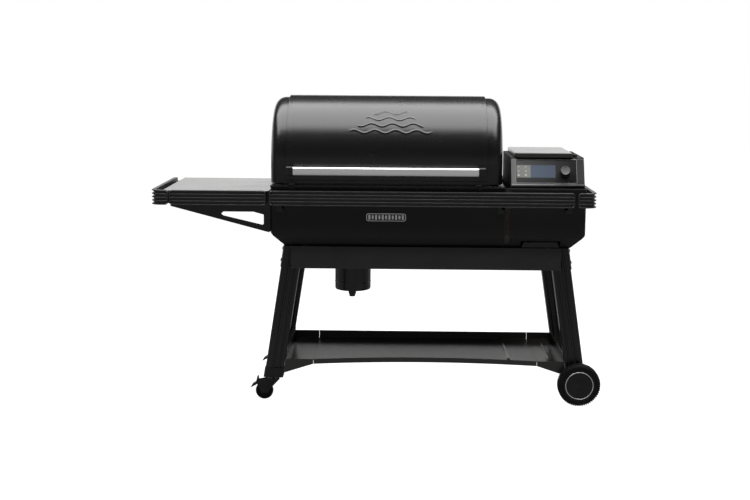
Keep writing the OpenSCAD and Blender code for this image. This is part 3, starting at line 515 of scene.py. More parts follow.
wave_rows = 4
wave_gap = 30 * mm
wave_shorter = 30 * mm
wave_longest = 164 * mm
wave_pitch = 82 * mm
wave_swing = 7 * mm
wave_line_half = 5.5 * mm
wave_fade = 12 * mm
wave_rise = 1.8 * mm
wave_x = (lid_low.x + lid_high.x) / 2 + 14 * mm
wave_half = wave_longest + 4 * mm
wave_start = 196 * mm
wave_end = 332 * mm
wave_first = wave_start + 14 * mm


def on_lid(x, s, out):
    """Point on the lid at distance s up from its front edge, moved outwards by out."""
    r = lid_r + out
    if s <= lid_wall:
        return Vector((x, -r, lid_low.z + s))
    if s >= lid_wall + lid_arc:
        return Vector((x, r, lid_axis_z - (s - lid_wall - lid_arc)))
    angle = (s - lid_wall) / lid_r
    return Vector((x, -r * cos(angle), lid_axis_z + r * sin(angle)))


def stations(stops):
    """Distances through (place, step) stops, each stretch cut evenly by its own step."""
    found = [stops[0][0]]
    for (start, _), (end, step) in zip(stops, stops[1:]):
        count = max(1, ceil((end - start) / step))
        found += [start + (end - start) * (i + 1) / count for i in range(count)]
    return found


def soft_step(value):
    """0 below 0, 1 above 1 and a smooth rise between."""
    value = min(1.0, max(0.0, value))
    return value * value * (3 - 2 * value)


def heat_waves(x, s):
    """Height of the pressed wave lines on the upper front of the lid."""
    best = 0.0
    for row in range(wave_rows):
        half = wave_longest - wave_shorter * row
        swing = wave_swing * sin((x - wave_x) * 2 * pi / wave_pitch + row)
        centre = wave_first + wave_gap * row + swing
        line = 1 - abs(s - centre) / wave_line_half
        end = (half - abs(x - wave_x)) / wave_fade
        best = max(best, soft_step(line) * soft_step(end))
    return wave_rise * best


def edge_shape(from_edge):
    """How far the skin sits inwards near a rim: rolled edge, then a shallow pressed hem line."""
    if from_edge < rim_roll:
        return -rim_roll * (1 - (1 - (1 - from_edge / rim_roll) ** 2) ** 0.5)
    line = 1 - abs(from_edge - hem) / hem_half
    return -hem_depth * soft_step(line)


def build_lid_skin():
    """Grid over (x, s) that is fine at the rims and the wave lines and coarse elsewhere."""
    coarse = 9 * mm
    fine = 2.2 * mm
    near_edge = [(0.0, 0), (rim_roll, 0.4 * mm), (hem - 3 * mm, 8 * mm), (hem + 3 * mm, 0.8 * mm)]
    left = [lid_low.x + d for d in stations(near_edge)]
    right = [lid_high.x - d for d in reversed(stations(near_edge))]
    waves = stations([(wave_x - wave_half, 0), (wave_x + wave_half, fine)])
    xs = left + stations([(left[-1], 0), (waves[0], coarse)])[1:-1] + waves
    xs += stations([(waves[-1], 0), (right[0], coarse)])[1:-1] + right
    length = 2 * lid_wall + lid_arc
    up = stations(near_edge)
    ss = up + stations([(up[-1], 0), (wave_start, coarse)])[1:]
    ss += stations([(wave_start, 0), (wave_end, fine)])[1:]
    ss += stations([(wave_end, 0), (length - up[-1], coarse)])[1:]
    ss += [length - d for d in reversed(up)][1:]
    bm = bmesh.new()

    def column(x, drop):
        """One line of points from front to back; drop sinks the sheet's folded side edges."""
        sunk = edge_shape(min(x - lid_low.x, lid_high.x - x)) if drop == 0 else -drop
        points = [on_lid(x, 0, sunk - lid_fold)]
        for s in ss:
            out = min(sunk, edge_shape(min(s, length - s)))
            points.append(on_lid(x, s, out + heat_waves(x, s)))
        points.append(on_lid(x, length, sunk - lid_fold))
        return [bm.verts.new(p) for p in points]

    columns = [column(lid_low.x, edge_drop)]
    columns += [column(x, 0) for x in xs]
    columns.append(column(lid_high.x, edge_drop))
    for here, there in zip(columns, columns[1:]):
        for j in range(len(here) - 1):
            bm.faces.new((here[j], there[j], there[j + 1], here[j + 1]))
    piece = add_piece("lid_skin_formed", bm, "lid", slot_of["lid_skin"], ["lid_skin"], 50)
    thick = piece.modifiers.new("sheet", "SOLIDIFY")
    thick.thickness = lid_sheet
    thick.offset = -1
    piece.modifiers.move(1, 0)


build_lid_skin()
softened("lid_end_caps", 0.8 * mm)
softened("lid_liner", 0.4 * mm, 1)
softened("lid_handle_bar", 1.0 * mm)
softened("lid_handle_ends", 1.6 * mm, 3)
softened("lid_hinge_arms", 0.8 * mm)
softened("lid_hinge_bases", 0.8 * mm)

# --- body and cart: the CAD shapes with formed edges -------------------------------------------------

shell_nodes = ["barrel_shell", "hopper_housing"]
sheet_nodes = ["barrel_rim", "vent_strip", "exhaust_duct", "shelf_brackets", "rail_brackets", "cleanout_gate"]
cart_nodes = ["shelf_panel", "frame_beams", "left_legs", "right_legs", "leg_sleeves", "foot_caps"]
deck_nodes = ["bottom_shelf_centre", "bottom_shelf_left", "bottom_shelf_right"]
small_nodes = ["bolt_heads", "lid_bumpers", "axle", "auger_motor"]
inner_nodes = ["barrel_liner", "drip_tray", "heat_baffle", "hopper_bin", "auger_tube", "fan_housing"]
# Radius of the rounded edges, steps in the rounding, and the nodes that get it.
for rounding, rounding_steps, rounded_nodes in (
    (1.1 * mm, 3, shell_nodes),
    (0.6 * mm, 2, sheet_nodes),
    (0.8 * mm, 2, cart_nodes),
    (0.7 * mm, 2, deck_nodes),
    (0.4 * mm, 2, small_nodes),
    (0.4 * mm, 1, inner_nodes),
):
    for rounded_node in rounded_nodes:
        softened(rounded_node, rounding, rounding_steps)


def build_rim_lip():
    """Folded strip along the tub's front rim that stands up just inside the shut lid and closes the slot."""
    rim_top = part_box("barrel_rim")[1].z
    liner_low, liner_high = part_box("lid_liner")
    front = liner_low.y + 2.9 * mm
    back = front + 1.8 * mm
    foot_front = liner_low.y - 6 * mm
    foot_top = rim_top + 1.2 * mm
    lip_top = lid_low.z - 0.7 * mm
    sunk = rim_top - 0.5 * mm
    corner = 0.6 * mm
    level = Matrix.Identity(4)
    ends = (liner_low.x + 3 * mm, liner_high.x - 3 * mm)
    bm = bmesh.new()
    plate(bm, level, (*ends, foot_front, back), corner, sunk, foot_top, 0.4 * mm)
    plate(bm, level, (*ends, front, back), corner, sunk, lip_top, 0.5 * mm)
    add_piece("barrel_rim_lip", bm, "grill", slot_of["barrel_rim"])


build_rim_lip()

# --- rails: ribbed faces inside a rolled border ------------------------------------------------------

rail_low, rail_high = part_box("front_rail")
rail_tall = rail_high.z - rail_low.z
rail_thick = rail_high.y - rail_low.y
rail_corner = 12 * mm
border = 5 * mm
border_roll = 2 * mm
rib_count = 3
rib_half = 2.75 * mm
rib_rise = 7 * mm
groove = (rail_tall - 2 * border - 2 * rib_count * rib_half) / (rib_count + 1)
rib_lines = [border + groove * (k + 1) + rib_half * (2 * k + 1) for k in range(rib_count)]
# The height map's lines, as shares of the border's width and of a rib's half width.
border_shares = (0, 0.05, 0.15, 0.3, 0.5, 0.7, 0.85, 0.95, 1)
rib_shares = (-1, -0.93, -0.75, -0.4, 0, 0.4, 0.75, 0.93, 1)


def crest(x):
    """Rounded ridge over -1..1."""
    return max(0.0, 1 - x**4) ** 0.5


def rail_rise(u, v, length):
    """Height of a rail's face over its groove floor at u along the rail and v up it."""
    across = min(u, length - u)
    up = min(v, rail_tall - v)
    inside = min(across, up)
    if across < rail_corner and up < rail_corner:
        inside = rail_corner - ((rail_corner - across) ** 2 + (rail_corner - up) ** 2) ** 0.5
    half = border / 2
    if inside < half:
        return rib_rise - border_roll * (1 - crest((half - max(inside, 0)) / half))
    rises = [crest((inside - half) / half) if inside < border else 0]
    rises += [crest((v - line) / rib_half) for line in rib_lines if abs(v - line) < rib_half]
    return rib_rise * max(rises)


def build_rail(node, length, place, bends=()):
    """A rail as a height map over (u, v); place(u, v, w) bends it into the frame."""
    near_border = [share * border for share in border_shares]
    near_end = near_border + [7.2 * mm, 9.5 * mm, rail_corner]
    us = sorted(set(near_end + list(bends) + [length - u for u in near_end]))
    vs = set(near_border + [rail_tall - v for v in near_border])
    for line in rib_lines:
        vs.update(line + rib_half * share for share in rib_shares)
    vs = sorted(vs)
    bm = bmesh.new()
    wear_and_highlight = bm.faces.layers.float.new("wear_and_highlight")
    fronts, lows, highs = [], [], []
    for u in us:
        near = min(u, length - u, rail_corner)
        start = rail_corner - (rail_corner**2 - (rail_corner - near) ** 2) ** 0.5
        column = []
        for v in vs:
            v = min(max(v, start), rail_tall - start)
            column.append(bm.verts.new(place(u, v, rail_thick - rib_rise + rail_rise(u, v, length))))
        fronts.append(column)
        lows.append(bm.verts.new(place(u, start, 0)))
        highs.append(bm.verts.new(place(u, rail_tall - start, 0)))
    for i in range(len(us) - 1):
        for j in range(len(vs) - 1):
            face = bm.faces.new((fronts[i][j], fronts[i + 1][j], fronts[i + 1][j + 1], fronts[i][j + 1]))
            middle = ((us[i] + us[i + 1]) / 2, (vs[j] + vs[j + 1]) / 2)
            # Rib and border crests take 0.7 of the paler edge tone: a painted highlight along with rubbed wear.
            face[wear_and_highlight] = 0.7 if rail_rise(*middle, length) > 0.9 * rib_rise else 0.0
        bm.faces.new((lows[i], lows[i + 1], fronts[i + 1][0], fronts[i][0]))
        bm.faces.new((fronts[i][-1], fronts[i + 1][-1], highs[i + 1], highs[i]))
        bm.faces.new((highs[i], highs[i + 1], lows[i + 1], lows[i]))
    bm.faces.new([lows[0]] + fronts[0] + [highs[0]])
    bm.faces.new([highs[-1]] + list(reversed(fronts[-1])) + [lows[-1]])
    bmesh.ops.remove_doubles(bm, verts=bm.verts, dist=0.01 * mm)
    bmesh.ops.dissolve_degenerate(bm, dist=0.01 * mm, edges=bm.edges)
    add_piece(node + "_formed", bm, "grill", slot_of[node], [node], 50)


def build_straight_rail(node):
    low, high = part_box(node)

    def place(u, v, w):
        return Vector((low.x + u, high.y - w, low.z + v))

    build_rail(node, high.x - low.x, place)


def build_corner_rail(node, side):
    """Rail from the back of one side, round the front corner to a short front stub."""
    low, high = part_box(node)
    x_out = high.x if side > 0 else -low.x
    x_stub = low.x if side > 0 else -high.x
    bend = 42 * mm
    leg = high.y - low.y - bend
    arc = bend * pi / 2

    def place(u, v, w):
        depth = rail_thick - w
        if u < leg:
            x, y = x_out - depth, high.y - u
        elif u < leg + arc:
            angle = (u - leg) / bend
            x = x_out - bend + (bend - depth) * cos(angle)
            y = low.y + bend - (bend - depth) * sin(angle)
        else:
            x, y = x_out - bend - (u - leg - arc), low.y + depth
        return Vector((side * x, y, low.z + v))

    bend_steps = 16
    bends = [leg + arc * i / bend_steps for i in range(bend_steps + 1)]
    stub = x_out - bend - x_stub
    build_rail(node, leg + arc + stub, place, bends)


build_straight_rail("front_rail")
build_straight_rail("shelf_front_rail")
build_corner_rail("left_side_rail", -1)
build_corner_rail("right_side_rail", 1)

# --- hopper lid: pan with a broad rolled edge --------------------------------------------------------


def build_hopper_lid():
    bm = cad_bmesh("hopper_lid")
    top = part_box("hopper_lid")[1].z

    def on_top(edge):
        return all(abs(v.co.z - top) < 0.1 * mm for v in edge.verts)

    rim = [e for e in bm.edges if on_top(e) and e.calc_face_angle(0) > radians(60)]
    round_edges(bm, rim, 4.5 * mm, 5)
    soften(bm, 0.5 * mm, sharper_than=40)
    add_piece("hopper_lid_formed", bm, "hopper_cover", slot_of["hopper_lid"], ["hopper_lid"])


build_hopper_lid()

# --- control head: bezel, glass, screen, touch keys and dial -----------------------------------------

dial_joint = joints["knob_turn"]
panel = frame_at(dial_joint["pos_m"], dial_joint["axis"])


def window_frame(bm, outer, outer_r, window, window_r, top, seat):
    """Adds a raised plate with a ridged window down to seat; outer and window are (x0, x1, y0, y1)."""
    steps = []
    for inset, height in ((0, 0), (0, top - 1.6 * mm), (0.5 * mm, top - 0.5 * mm), (1.7 * mm, top)):
        steps.append((round_outline(*outer, outer_r, inset), height))
    ridge = ((-3.4 * mm, 0), (-2.9 * mm, 0.9 * mm), (-2.0 * mm, 1.2 * mm), (-1.0 * mm, 0.9 * mm))
    ridge += ((-0.4 * mm, -0.2 * mm), (0, seat - top))
    for inset, rise in ridge:
        steps.append((round_outline(*window, window_r, inset), top + rise))
    loops = [[bm.verts.new(panel @ Vector((x, y, z))) for x, y in points] for points, z in steps]
    wear_and_highlight = bm.faces.layers.float.new("wear_and_highlight")
    ridge_start = len(steps) - len(ridge)
    # The first three ridge rings are marked pale: a painted highlight along the window ridge.
    pale = range(ridge_start, ridge_start + 3)
    for n, (low, high) in enumerate(zip(loops, loops[1:])):
        for i in range(len(low)):
            k = (i + 1) % len(low)
            face = bm.faces.new((low[i], low[k], high[k], high[i]))
            face[wear_and_highlight] = 1.0 if n in pale else 0.0
    bm.faces.new(list(reversed(loops[0])))
    bm.faces.new(loops[-1])


def build_control_head():
    low, high = box_in(panel, "control_bezel")
    glass_low, glass_high = box_in(panel, "control_panel")
    lit_low, lit_high = box_in(panel, "display")
    top = glass_high.z
    sill_tall = 10 * mm
    bm = bmesh.new()
    window = area_of(glass_low, glass_high)
    window_frame(bm, area_of(low, high), 5 * mm, window, 3 * mm, top, glass_low.z)
    rounded_bar(bm, panel, low.x, high.x, low.y, low.y + sill_tall, 0, high.z, 4.5 * mm)
    add_piece("control_bezel_formed", bm, "grill", "black_plastic", ["control_bezel"], finish="bezel_plastic")
    bm = bmesh.new()
    glass = area_of(glass_low, glass_high, 0.3 * mm)
    plate(bm, panel, glass, 3 * mm, glass_low.z, top - 0.2 * mm, 0.5 * mm)
    add_piece("control_glass", bm, "grill", "gloss_black", ["control_panel"])
    keys_share = 0.36
    keys_right = lit_low.x + keys_share * (lit_high.x - lit_low.x)
    film = 0.4 * mm
    bm = bmesh.new()
    screen_area = (keys_right, lit_high.x, lit_low.y, lit_high.y)
    plate(bm, panel, screen_area, 1 * mm, top - film, top, 0.15 * mm)
    add_piece("display_formed", bm, "grill", "screen", ["display"])
    bm = bmesh.new()
    keys_area = (lit_low.x, keys_right, lit_low.y, lit_high.y)
    plate(bm, panel, keys_area, 1 * mm, top - film, top, 0.15 * mm)
    add_piece("touch_key_field", bm, "grill", "screen", finish="key_field")
    build_touch_marks(lit_low, lit_high, top)


def build_touch_marks(low, high, top):
    """Six printed rings in two columns: two rows of small ones over a row of larger ones."""
    bm = bmesh.new()
    tall = high.y - low.y
    small = 2.6 * mm
    large = 4.0 * mm
    print_t = 0.3 * mm
    for x in (low.x + 8 * mm, low.x + 36 * mm):
        for share, r in ((0.86, small), (0.52, small), (0.20, large)):
            place = panel @ Matrix.Translation((x, low.y + share * tall, top - 0.1 * mm))
            inner = 0.5 * r
            turn(bm, [(inner, 0), (r, 0), (r, print_t), (inner, print_t)], place, 20)
    add_piece("touch_key_marks", bm, "grill", "screen", finish="printed_marks")


build_control_head()


def build_knob():
    """Fluted skirt, smooth grip with a rolled rim, dished metal face and a dark pointer mark."""
    high = box_in(panel, "knob")[1]
    r = high.x
    top = high.z
    grip = r - 1.4 * mm
    skirt_top = top - 14 * mm
    base = skirt_top - 10.5 * mm
    flutes = 36
    flute_deep = 0.5 * mm

    def fluted(angle, radius, height):
        """Scallops only the points on the skirt's outer face."""
        return radius - flute_deep * (0.5 + 0.5 * cos(flutes * angle)) if radius >= r - 0.1 * mm else radius

    bm = bmesh.new()
    drum = [(0, base), (r - 1 * mm, base), (r, base + 1 * mm), (r, skirt_top - 2.2 * mm)]
    drum += [(r - 0.4 * mm, skirt_top - 0.8 * mm), (r - 1 * mm, skirt_top), (grip, skirt_top + 0.5 * mm)]
    drum += [(grip, top - 1.6 * mm), (grip - 0.4 * mm, top - 0.7 * mm), (grip - 1.2 * mm, top - 0.3 * mm)]
    drum += [(grip - 1.6 * mm, top - 1 * mm), (0, top - 1.4 * mm)]
    turn(bm, drum, panel, 4 * flutes, closed=False, shape=fluted)
    add_piece("knob_drum", bm, "dial", "black_plastic", ["knob"])
    bm = bmesh.new()
    disc = grip - 1.7 * mm
    face = [(0, top - 2 * mm), (disc, top - 2 * mm), (disc, top - 0.7 * mm), (disc - 0.6 * mm, top)]
    face += [(disc - 1.8 * mm, top), (disc - 2.6 * mm, top - 0.6 * mm), (0, top - 1 * mm)]
    turn(bm, face, panel, 96, closed=False)
    add_piece("knob_face", bm, "dial", "badge_metal", finish="knob_metal")
    bm = bmesh.new()
    mark = (-0.9 * mm, 0.9 * mm, disc - 9 * mm, disc - 3.4 * mm)
    plate(bm, panel, mark, 0.8 * mm, top - 1.2 * mm, top - 0.4 * mm, 0.3 * mm)
    add_piece("knob_pointer", bm, "dial", "screen", finish="satin_black_steel")


build_knob()

# --- badge: raised border round a dark field with plain upright bars ---------------------------------


def build_badge():
    low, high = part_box("badge")
    place = front_place(high.y)
    thick = high.y - low.y
    area = (low.x, high.x, low.z, high.z)
    rim = 3.0 * mm
    floor = thick - 1.4 * mm
    layers = [(0, 0), (0, thick - 0.7 * mm), (0.3 * mm, thick - 0.2 * mm), (1 * mm, thick)]
    layers += [(rim - 0.8 * mm, thick), (rim, thick - 0.5 * mm), (rim, floor)]
    bm = bmesh.new()
    layered(bm, lambda inset: round_outline(*area, 9 * mm, inset), layers, place)
    add_piece("badge_border", bm, "grill", "badge_metal", ["badge"])
    bm = bmesh.new()
    field = (low.x + rim, high.x - rim, low.z + rim, high.z - rim)
    plate(bm, place, field, 6 * mm, floor - 0.1 * mm, floor + 0.3 * mm, 0.1 * mm)
    add_piece("badge_field", bm, "grill", "gloss_black", finish="satin_black_steel")
    bm = bmesh.new()
    bars = 11
    bar_half = 3.8 * mm
    tall_half = 9.5 * mm
    short_half = 7.5 * mm
    pitch = (high.x - low.x - 4 * rim) / bars
    middle = (low.z + high.z) / 2
    for i in range(bars):
        x = low.x + 2 * rim + (i + 0.5) * pitch
        half = short_half if i % 2 else tall_half
        upright = (x - bar_half, x + bar_half, middle - half, middle + half)
        plate(bm, place, upright, 1.2 * mm, floor, thick - 0.1 * mm, 0.4 * mm)
    add_piece("badge_bars", bm, "grill", "badge_metal")


build_badge()

# --- keg: bucket with two beads and a rolled rim, and a strap handle down its front -------------------


def build_keg():
    low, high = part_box("keg")
    r = (high.x - low.x) / 2
    middle = (low.x + high.x) / 2
    place = Matrix.Translation((middle, high.y - r, 0))
    base = low.z + 19 * mm
    top = high.z
    wall = 1.5 * mm
    outside = [(0, base), (r - 8 * mm, base), (r - 3 * mm, base + 1.5 * mm)]
    outside += [(r - 0.6 * mm, base + 5 * mm), (r, base + 9 * mm)]
    bead_r = r + 0.9 * mm
    for bead in (base + 34 * mm, top - 26 * mm):
        outside += [(r, bead - 3 * mm), (bead_r, bead - 1 * mm), (bead_r, bead + 1 * mm), (r, bead + 3 * mm)]
    roll = [(r, top - 7 * mm), (r + 1.6 * mm, top - 6 * mm), (r + 2.6 * mm, top - 3.5 * mm)]
    roll += [(r + 2.0 * mm, top - 1 * mm), (r, top), (r - wall, top - 1 * mm)]
    inside = [(r - wall, base + 9 * mm), (r - 4 * mm, base + 3.5 * mm), (0, base + 2 * mm)]
    bm = bmesh.new()
    turn(bm, outside + roll + inside, place, 96, closed=False)
    add_piece("keg_bucket", bm, "ash_keg", slot_of["keg"], ["keg"])
    bm = bmesh.new()
    strap_out = 9.5 * mm
    front = front_place(low.y + strap_out)
    half = 15.5 * mm
    foot_half = half - 3 * mm
    strap = (middle - half, middle + half, low.z + 11 * mm, top - 8 * mm)
    plate(bm, front, strap, 3 * mm, 0, strap_out, 1.6 * mm)
    foot = (middle - foot_half, middle + foot_half, low.z, low.z + 24 * mm)
    plate(bm, front, foot, 6 * mm, 1 * mm, strap_out - 1.2 * mm, 1.2 * mm)
    add_piece("keg_strap", bm, "ash_keg", slot_of["keg"])


build_keg()

# --- large wheels: moulded tyre with ribbed shoulders, dished cap and a bright ring ------------------


def build_road_wheel(end):
    """Ribbed tyre, dished cap and bright ring; heights run outwards from the wheel's inner face."""
    low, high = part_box(end + "_wheel")
    r = (high.x - low.x) / 2
    wide = high.y - low.y
    outward = -1 if end == "front" else 1
    inner_y = high.y if end == "front" else low.y
    place = frame_at(((low.x + high.x) / 2, inner_y, (low.z + high.z) / 2), (0, outward, 0))
    body = end + "_road_wheel"
    bore = 8.05 * mm
    hub = 22 * mm
    pocket = 12 * mm
    face = wide - 8 * mm
    cap_r = 0.75 * r
    ribs = 60
    rib_share = 0.58
    rib_deep = 4 * mm
    plain_band = 18.5 * mm

    inner_side = [(bore, 0), (hub - 1 * mm, 0), (hub, 1 * mm), (hub, pocket), (0.64 * r, pocket + 2 * mm)]
    inner_side += [(0.69 * r, pocket - 1 * mm), (0.71 * r, 1.5 * mm), (0.73 * r, 0), (0.88 * r, 0)]
    rolling = [(0.955 * r, 2 * mm), (0.99 * r, 6 * mm), (r, 11 * mm), (r, 16 * mm), (r, 18 * mm)]
    rolling += [(0.987 * r, 19 * mm), (0.987 * r, wide - 19 * mm), (r, wide - 18 * mm), (r, wide - 16 * mm)]
    rolling += [(r, wide - 11 * mm), (0.99 * r, wide - 6 * mm), (0.955 * r, wide - 2 * mm), (0.90 * r, wide)]
    outer_side = [(cap_r + 4 * mm, wide), (cap_r + 1.5 * mm, wide - 0.6 * mm)]
    outer_side += [(cap_r + 0.3 * mm, wide - 2.4 * mm), (cap_r + 0.2 * mm, face), (bore, face)]

    def tread(angle, radius, height):
        """Cuts grooves across both shoulders and leaves the band between them plain."""
        shoulder = radius > 0.95 * r and not plain_band < height < wide - plain_band
        groove = (angle * ribs / (2 * pi)) % 1 < 1 - rib_share
        return radius - rib_deep if shoulder and groove else radius

    bm = bmesh.new()
    turn(bm, inner_side + rolling + outer_side, place, ribs * 7, shape=tread)
    add_piece(end + "_wheel_formed", bm, body, "wheel_black", [end + "_wheel"], 32)
    rim = wide - 1.2 * mm
    ring_out = 0.655 * r
    ring_in = 0.625 * r
    rim_r = cap_r - 0.2 * mm
    cap = [(0, face), (rim_r, face), (rim_r, rim - 1.5 * mm), (rim_r - 1.2 * mm, rim)]
    cap += [(ring_out + 1.6 * mm, rim), (ring_out + 0.6 * mm, rim - 0.8 * mm)]
    cap += [(ring_in - 0.6 * mm, rim - 0.8 * mm), (ring_in - 1.8 * mm, rim - 1.0 * mm)]
    cap += [(0.4 * r, rim - 3.4 * mm), (0.2 * r, rim - 4.2 * mm)]
    cap += [(0.17 * r, rim - 3.2 * mm), (0.14 * r, rim - 2.6 * mm), (0, rim - 2.2 * mm)]
    bm = bmesh.new()
    turn(bm, cap, place, 120, closed=False)
    add_piece(end + "_wheel_cap_formed", bm, body, slot_of[end + "_wheel_cap"], [end + "_wheel_cap"])
    ring_foot = rim - 1.2 * mm
    ring_top = rim + 0.3 * mm
    soft = 0.4 * mm
    ring = [(ring_in, ring_foot), (ring_out, ring_foot), (ring_out, ring_top - soft)]
    ring += [(ring_out - soft, ring_top), (ring_in + soft, ring_top), (ring_in, ring_top - soft)]
    bm = bmesh.new()
    turn(bm, ring, place, 120)
    add_piece(end + "_wheel_ring", bm, body, "stainless")


for wheel_end in ("front", "rear"):
    build_road_wheel(wheel_end)

# --- casters: turned wheel, the CAD fork and brake pedal, and a nut at each end of the axle -----------


def build_caster(end):
    low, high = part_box(end + "_caster_wheel")
    r = (high.x - low.x) / 2
    half = (high.y - low.y) / 2
    middle = (low + high) / 2
    place = frame_at(middle, (0, -1, 0))
    bore = 4.05 * mm
    share = half / 11
    hub_half = 8 * share
    web_half = 7 * share
    upper = [(bore, hub_half), (9 * mm, hub_half), (10 * mm, web_half), (0.68 * r, web_half)]
    upper += [(0.71 * r, hub_half), (0.74 * r, 10.4 * share), (0.79 * r, half), (0.88 * r, half)]
    upper += [(0.955 * r, 9 * share), (r, 4.5 * share)]
    lower = [(radius, -height) for radius, height in reversed(upper)]
    wheel = end + "_caster_wheel"
    bm = bmesh.new()
    turn(bm, upper + lower, place, 72)
    add_piece(wheel + "_formed", bm, end + "_roller", slot_of[wheel], [wheel])
    softened(end + "_caster_fork", 0.7 * mm)
    softened(end + "_caster_brake", 1.2 * mm, 3)
    fork_half = 16 * mm
    nut_r = 7 * mm
    nut_t = 3.4 * mm
    nut = [(0, 0), (nut_r, 0), (nut_r, nut_t - 0.8 * mm), (nut_r - 0.8 * mm, nut_t), (0, nut_t)]
    bm = bmesh.new()
    for outward in (-1, 1):
        nut_place = frame_at(middle + Vector((0, outward * fork_half, 0)), (0, outward, 0))
        turn(bm, nut, nut_place, 6, closed=False)
    add_piece(end + "_caster_nuts", bm, end + "_fork", "black_plastic", smooth_to=20)


for caster_end in ("front", "rear"):
    build_caster(caster_end)

# --- grates: welded round bars -----------------------------------------------------------------------


def build_grate(node, bar_r, legs=()):
    """Bars from front to back on four cross bars; legs are the (x, y) places of upright rods."""
    low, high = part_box(node)
    bar_gap = 20 * mm
    cross_bars = 4
    cross_r = 1.1 * bar_r
    count = round((high.x - low.x) / bar_gap)
    z = high.z - bar_r
    cross_z = z - 0.9 * bar_r
    bm = bmesh.new()
    for i in range(count + 1):
        x = low.x + bar_r + i * (high.x - low.x - 2 * bar_r) / count
        rod(bm, (x, low.y + bar_r, z), (x, high.y - bar_r, z), bar_r, 8)
    for i in range(cross_bars):
        y = low.y + bar_r + i * (high.y - low.y - 2 * bar_r) / (cross_bars - 1)
        rod(bm, (low.x, y, cross_z), (high.x, y, cross_z), cross_r, 10)
    for x, y in legs:
        rod(bm, (x, y, low.z), (x, y, z), leg_r, 12)
    add_piece(node + "_bars", bm, "grill", "grate_enamel", [node])


leg_r = 4 * mm
upper_low, upper_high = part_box("upper_grate")
leg_xs = (upper_low.x + leg_r, upper_high.x - leg_r)
leg_ys = (upper_low.y + leg_r, upper_high.y - 2 * leg_r)
build_grate("main_grate", 3 * mm)
build_grate("upper_grate", 2.5 * mm, [(x, y) for x in leg_xs for y in leg_ys])

# --- everything else keeps its CAD mesh and takes its finish -----------------------------------------

for node, obj in frame["nodes"].items():
    obj.data.materials.clear()
    obj.data.materials.append(materials[slot_of[node]])

# --- stage: camera, overhead light, room and floor ------------------------------------------------------

camera_place = (0.0603, -5.1404, 1.366)
camera_yaw = -0.015
camera_pitch = 0.152
camera_roll = 0.007
light_y = -0.12
light_z = 2.8
light_wide = 4.4
light_deep = 2.22
light_power = 175
back_wall = 1.8
front_wall = 0.4
room_light = 0.05
floor_glow = 0.16
floor_half = 14
floor_seen = 0.35
floor_unseen = 0.12


def look_frame(yaw, pitch, roll):
    """Camera axes for a heading from +Y, a downward pitch and a clockwise roll, in radians."""
    ahead = Vector((sin(yaw) * cos(pitch), cos(yaw) * cos(pitch), -sin(pitch)))
    right = Vector((cos(yaw), -sin(yaw), 0))
    down = ahead.cross(right)
    x = cos(roll) * right - sin(roll) * down
    y = -(sin(roll) * right + cos(roll) * down)
    return Matrix((x, y, -ahead)).transposed().to_4x4()


lens = bpy.data.cameras.new("camera")
lens.lens = 60
lens.sensor_width = 36
camera = bpy.data.objects.new("camera", lens)
camera.matrix_world = Matrix.Translation(camera_place) @ look_frame(camera_yaw, camera_pitch, camera_roll)
bpy.context.scene.collection.objects.link(camera)
bpy.context.scene.camera = camera


def hang_light():
    """One broad soft panel over the grill, facing straight down."""
    light = bpy.data.lights.new("overhead", "AREA")
    light.shape = "RECTANGLE"
    light.size = light_wide
    light.size_y = light_deep
    light.energy = light_power
    lamp = bpy.data.objects.new("overhead", light)
    lamp.location = (0, light_y, light_z)
    bpy.context.scene.collection.objects.link(lamp)
    lamp.visible_camera = False


hang_light()


def camera_only(tree, seen, otherwise):
    """Mixes two shaders: one for what the camera sees directly, one for all other rays."""
    path = tree.nodes.new("ShaderNodeLightPath")
    mix = tree.nodes.new("ShaderNodeMixShader")
    tree.links.new(path.outputs["Is Camera Ray"], mix.inputs["Fac"])
    tree.links.new(otherwise.outputs[0], mix.inputs[1])
    tree.links.new(seen.outputs[0], mix.inputs[2])
    return mix


class Ramp:
    """Strength of the room's light by direction, built from smooth steps of the direction's parts."""

    def __init__(self, tree):
        self.tree = tree
        place = tree.nodes.new("ShaderNodeTexCoord")
        apart = tree.nodes.new("ShaderNodeSeparateXYZ")
        tree.links.new(place.outputs["Generated"], apart.inputs[0])
        self.parts = apart.outputs

    def step(self, axis, start, end):
        """0 before start and 1 after end; start may be the larger."""
        fade = self.tree.nodes.new("ShaderNodeMapRange")
        fade.interpolation_type = "SMOOTHSTEP"
        fade.inputs["From Min"].default_value = min(start, end)
        fade.inputs["From Max"].default_value = max(start, end)
        fade.inputs["To Min"].default_value = 0 if start < end else 1
        fade.inputs["To Max"].default_value = 1 if start < end else 0
        self.tree.links.new(self.parts[axis], fade.inputs["Value"])
        return fade.outputs["Result"]

    def join(self, operation, a, b):
        """Adds or multiplies two strengths."""
        made = self.tree.nodes.new("ShaderNodeMath")
        made.operation = operation
        for socket, value in zip(made.inputs, (a, b)):
            if hasattr(value, "is_output"):
                self.tree.links.new(value, socket)
            else:
                socket.default_value = value
        return made.outputs[0]

    def wall(self, y_steps, z_steps, strength):
        """A low wall: full strength past the second of each pair of steps."""
        shape = self.join("MULTIPLY", self.step("Y", *y_steps), self.step("Z", *z_steps))
        return self.join("MULTIPLY", shape, strength)


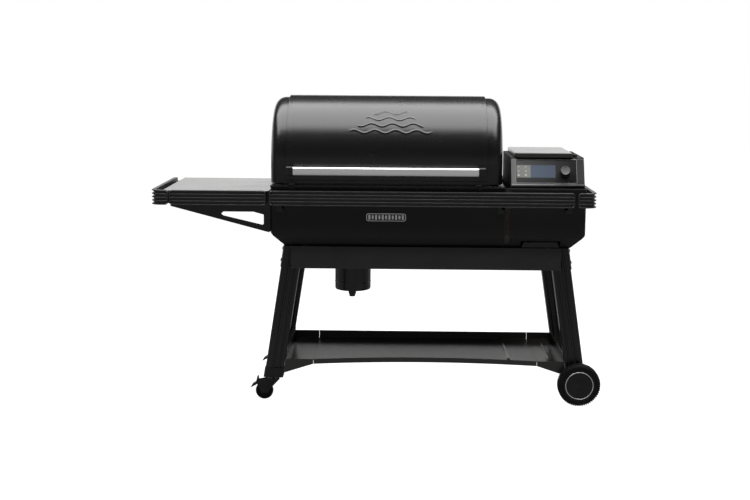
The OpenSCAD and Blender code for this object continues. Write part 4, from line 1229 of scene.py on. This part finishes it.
def build_world():
    """White for the camera; otherwise a dark room with a low white wall behind and a faint one in front."""
    world = bpy.data.worlds.new("studio")
    world.use_nodes = True
    tree = world.node_tree
    seen = tree.nodes["Background"]
    seen.inputs["Color"].default_value = (1, 1, 1, 1)
    seen.inputs["Strength"].default_value = 1.0
    room = tree.nodes.new("ShaderNodeBackground")
    ramp = Ramp(tree)
    behind = ramp.wall((0.05, 0.6), (0.27, 0.12), back_wall)
    before = ramp.wall((-0.1, -0.6), (0.22, 0.02), front_wall)
    strength = ramp.join("ADD", ramp.join("ADD", behind, before), room_light)
    tree.links.new(strength, room.inputs["Strength"])
    tree.links.new(camera_only(tree, seen, room).outputs[0], tree.nodes["World Output"].inputs["Surface"])
    bpy.context.scene.world = world


def glowing_paint(tree, tone, glow):
    """Grey matt paint that also gives off some light of its own."""
    paint = tree.nodes.new("ShaderNodeBsdfDiffuse")
    paint.inputs["Color"].default_value = (tone, tone, tone, 1)
    light = tree.nodes.new("ShaderNodeEmission")
    light.inputs["Strength"].default_value = glow
    both = tree.nodes.new("ShaderNodeAddShader")
    tree.links.new(paint.outputs[0], both.inputs[0])
    tree.links.new(light.outputs[0], both.inputs[1])
    return both


def build_floor():
    """Plain pale floor: as white as the background for the camera, dim for all other rays."""
    bm = bmesh.new()
    bmesh.ops.create_grid(bm, x_segments=8, y_segments=8, size=floor_half)
    mesh = bpy.data.meshes.new("floor")
    bm.to_mesh(mesh)
    bm.free()
    floor = bpy.data.objects.new("floor", mesh)
    bpy.context.scene.collection.objects.link(floor)
    material = bpy.data.materials.new("floor")
    material.use_nodes = True
    tree = material.node_tree
    tree.nodes.remove(tree.nodes["Principled BSDF"])
    seen = glowing_paint(tree, floor_seen, 1.0)
    unseen = glowing_paint(tree, floor_unseen, floor_glow)
    surface = tree.nodes["Material Output"].inputs["Surface"]
    tree.links.new(camera_only(tree, seen, unseen).outputs[0], surface)
    mesh.materials.append(material)


build_world()
build_floor()
bpy.context.scene.view_settings.view_transform = "Standard"
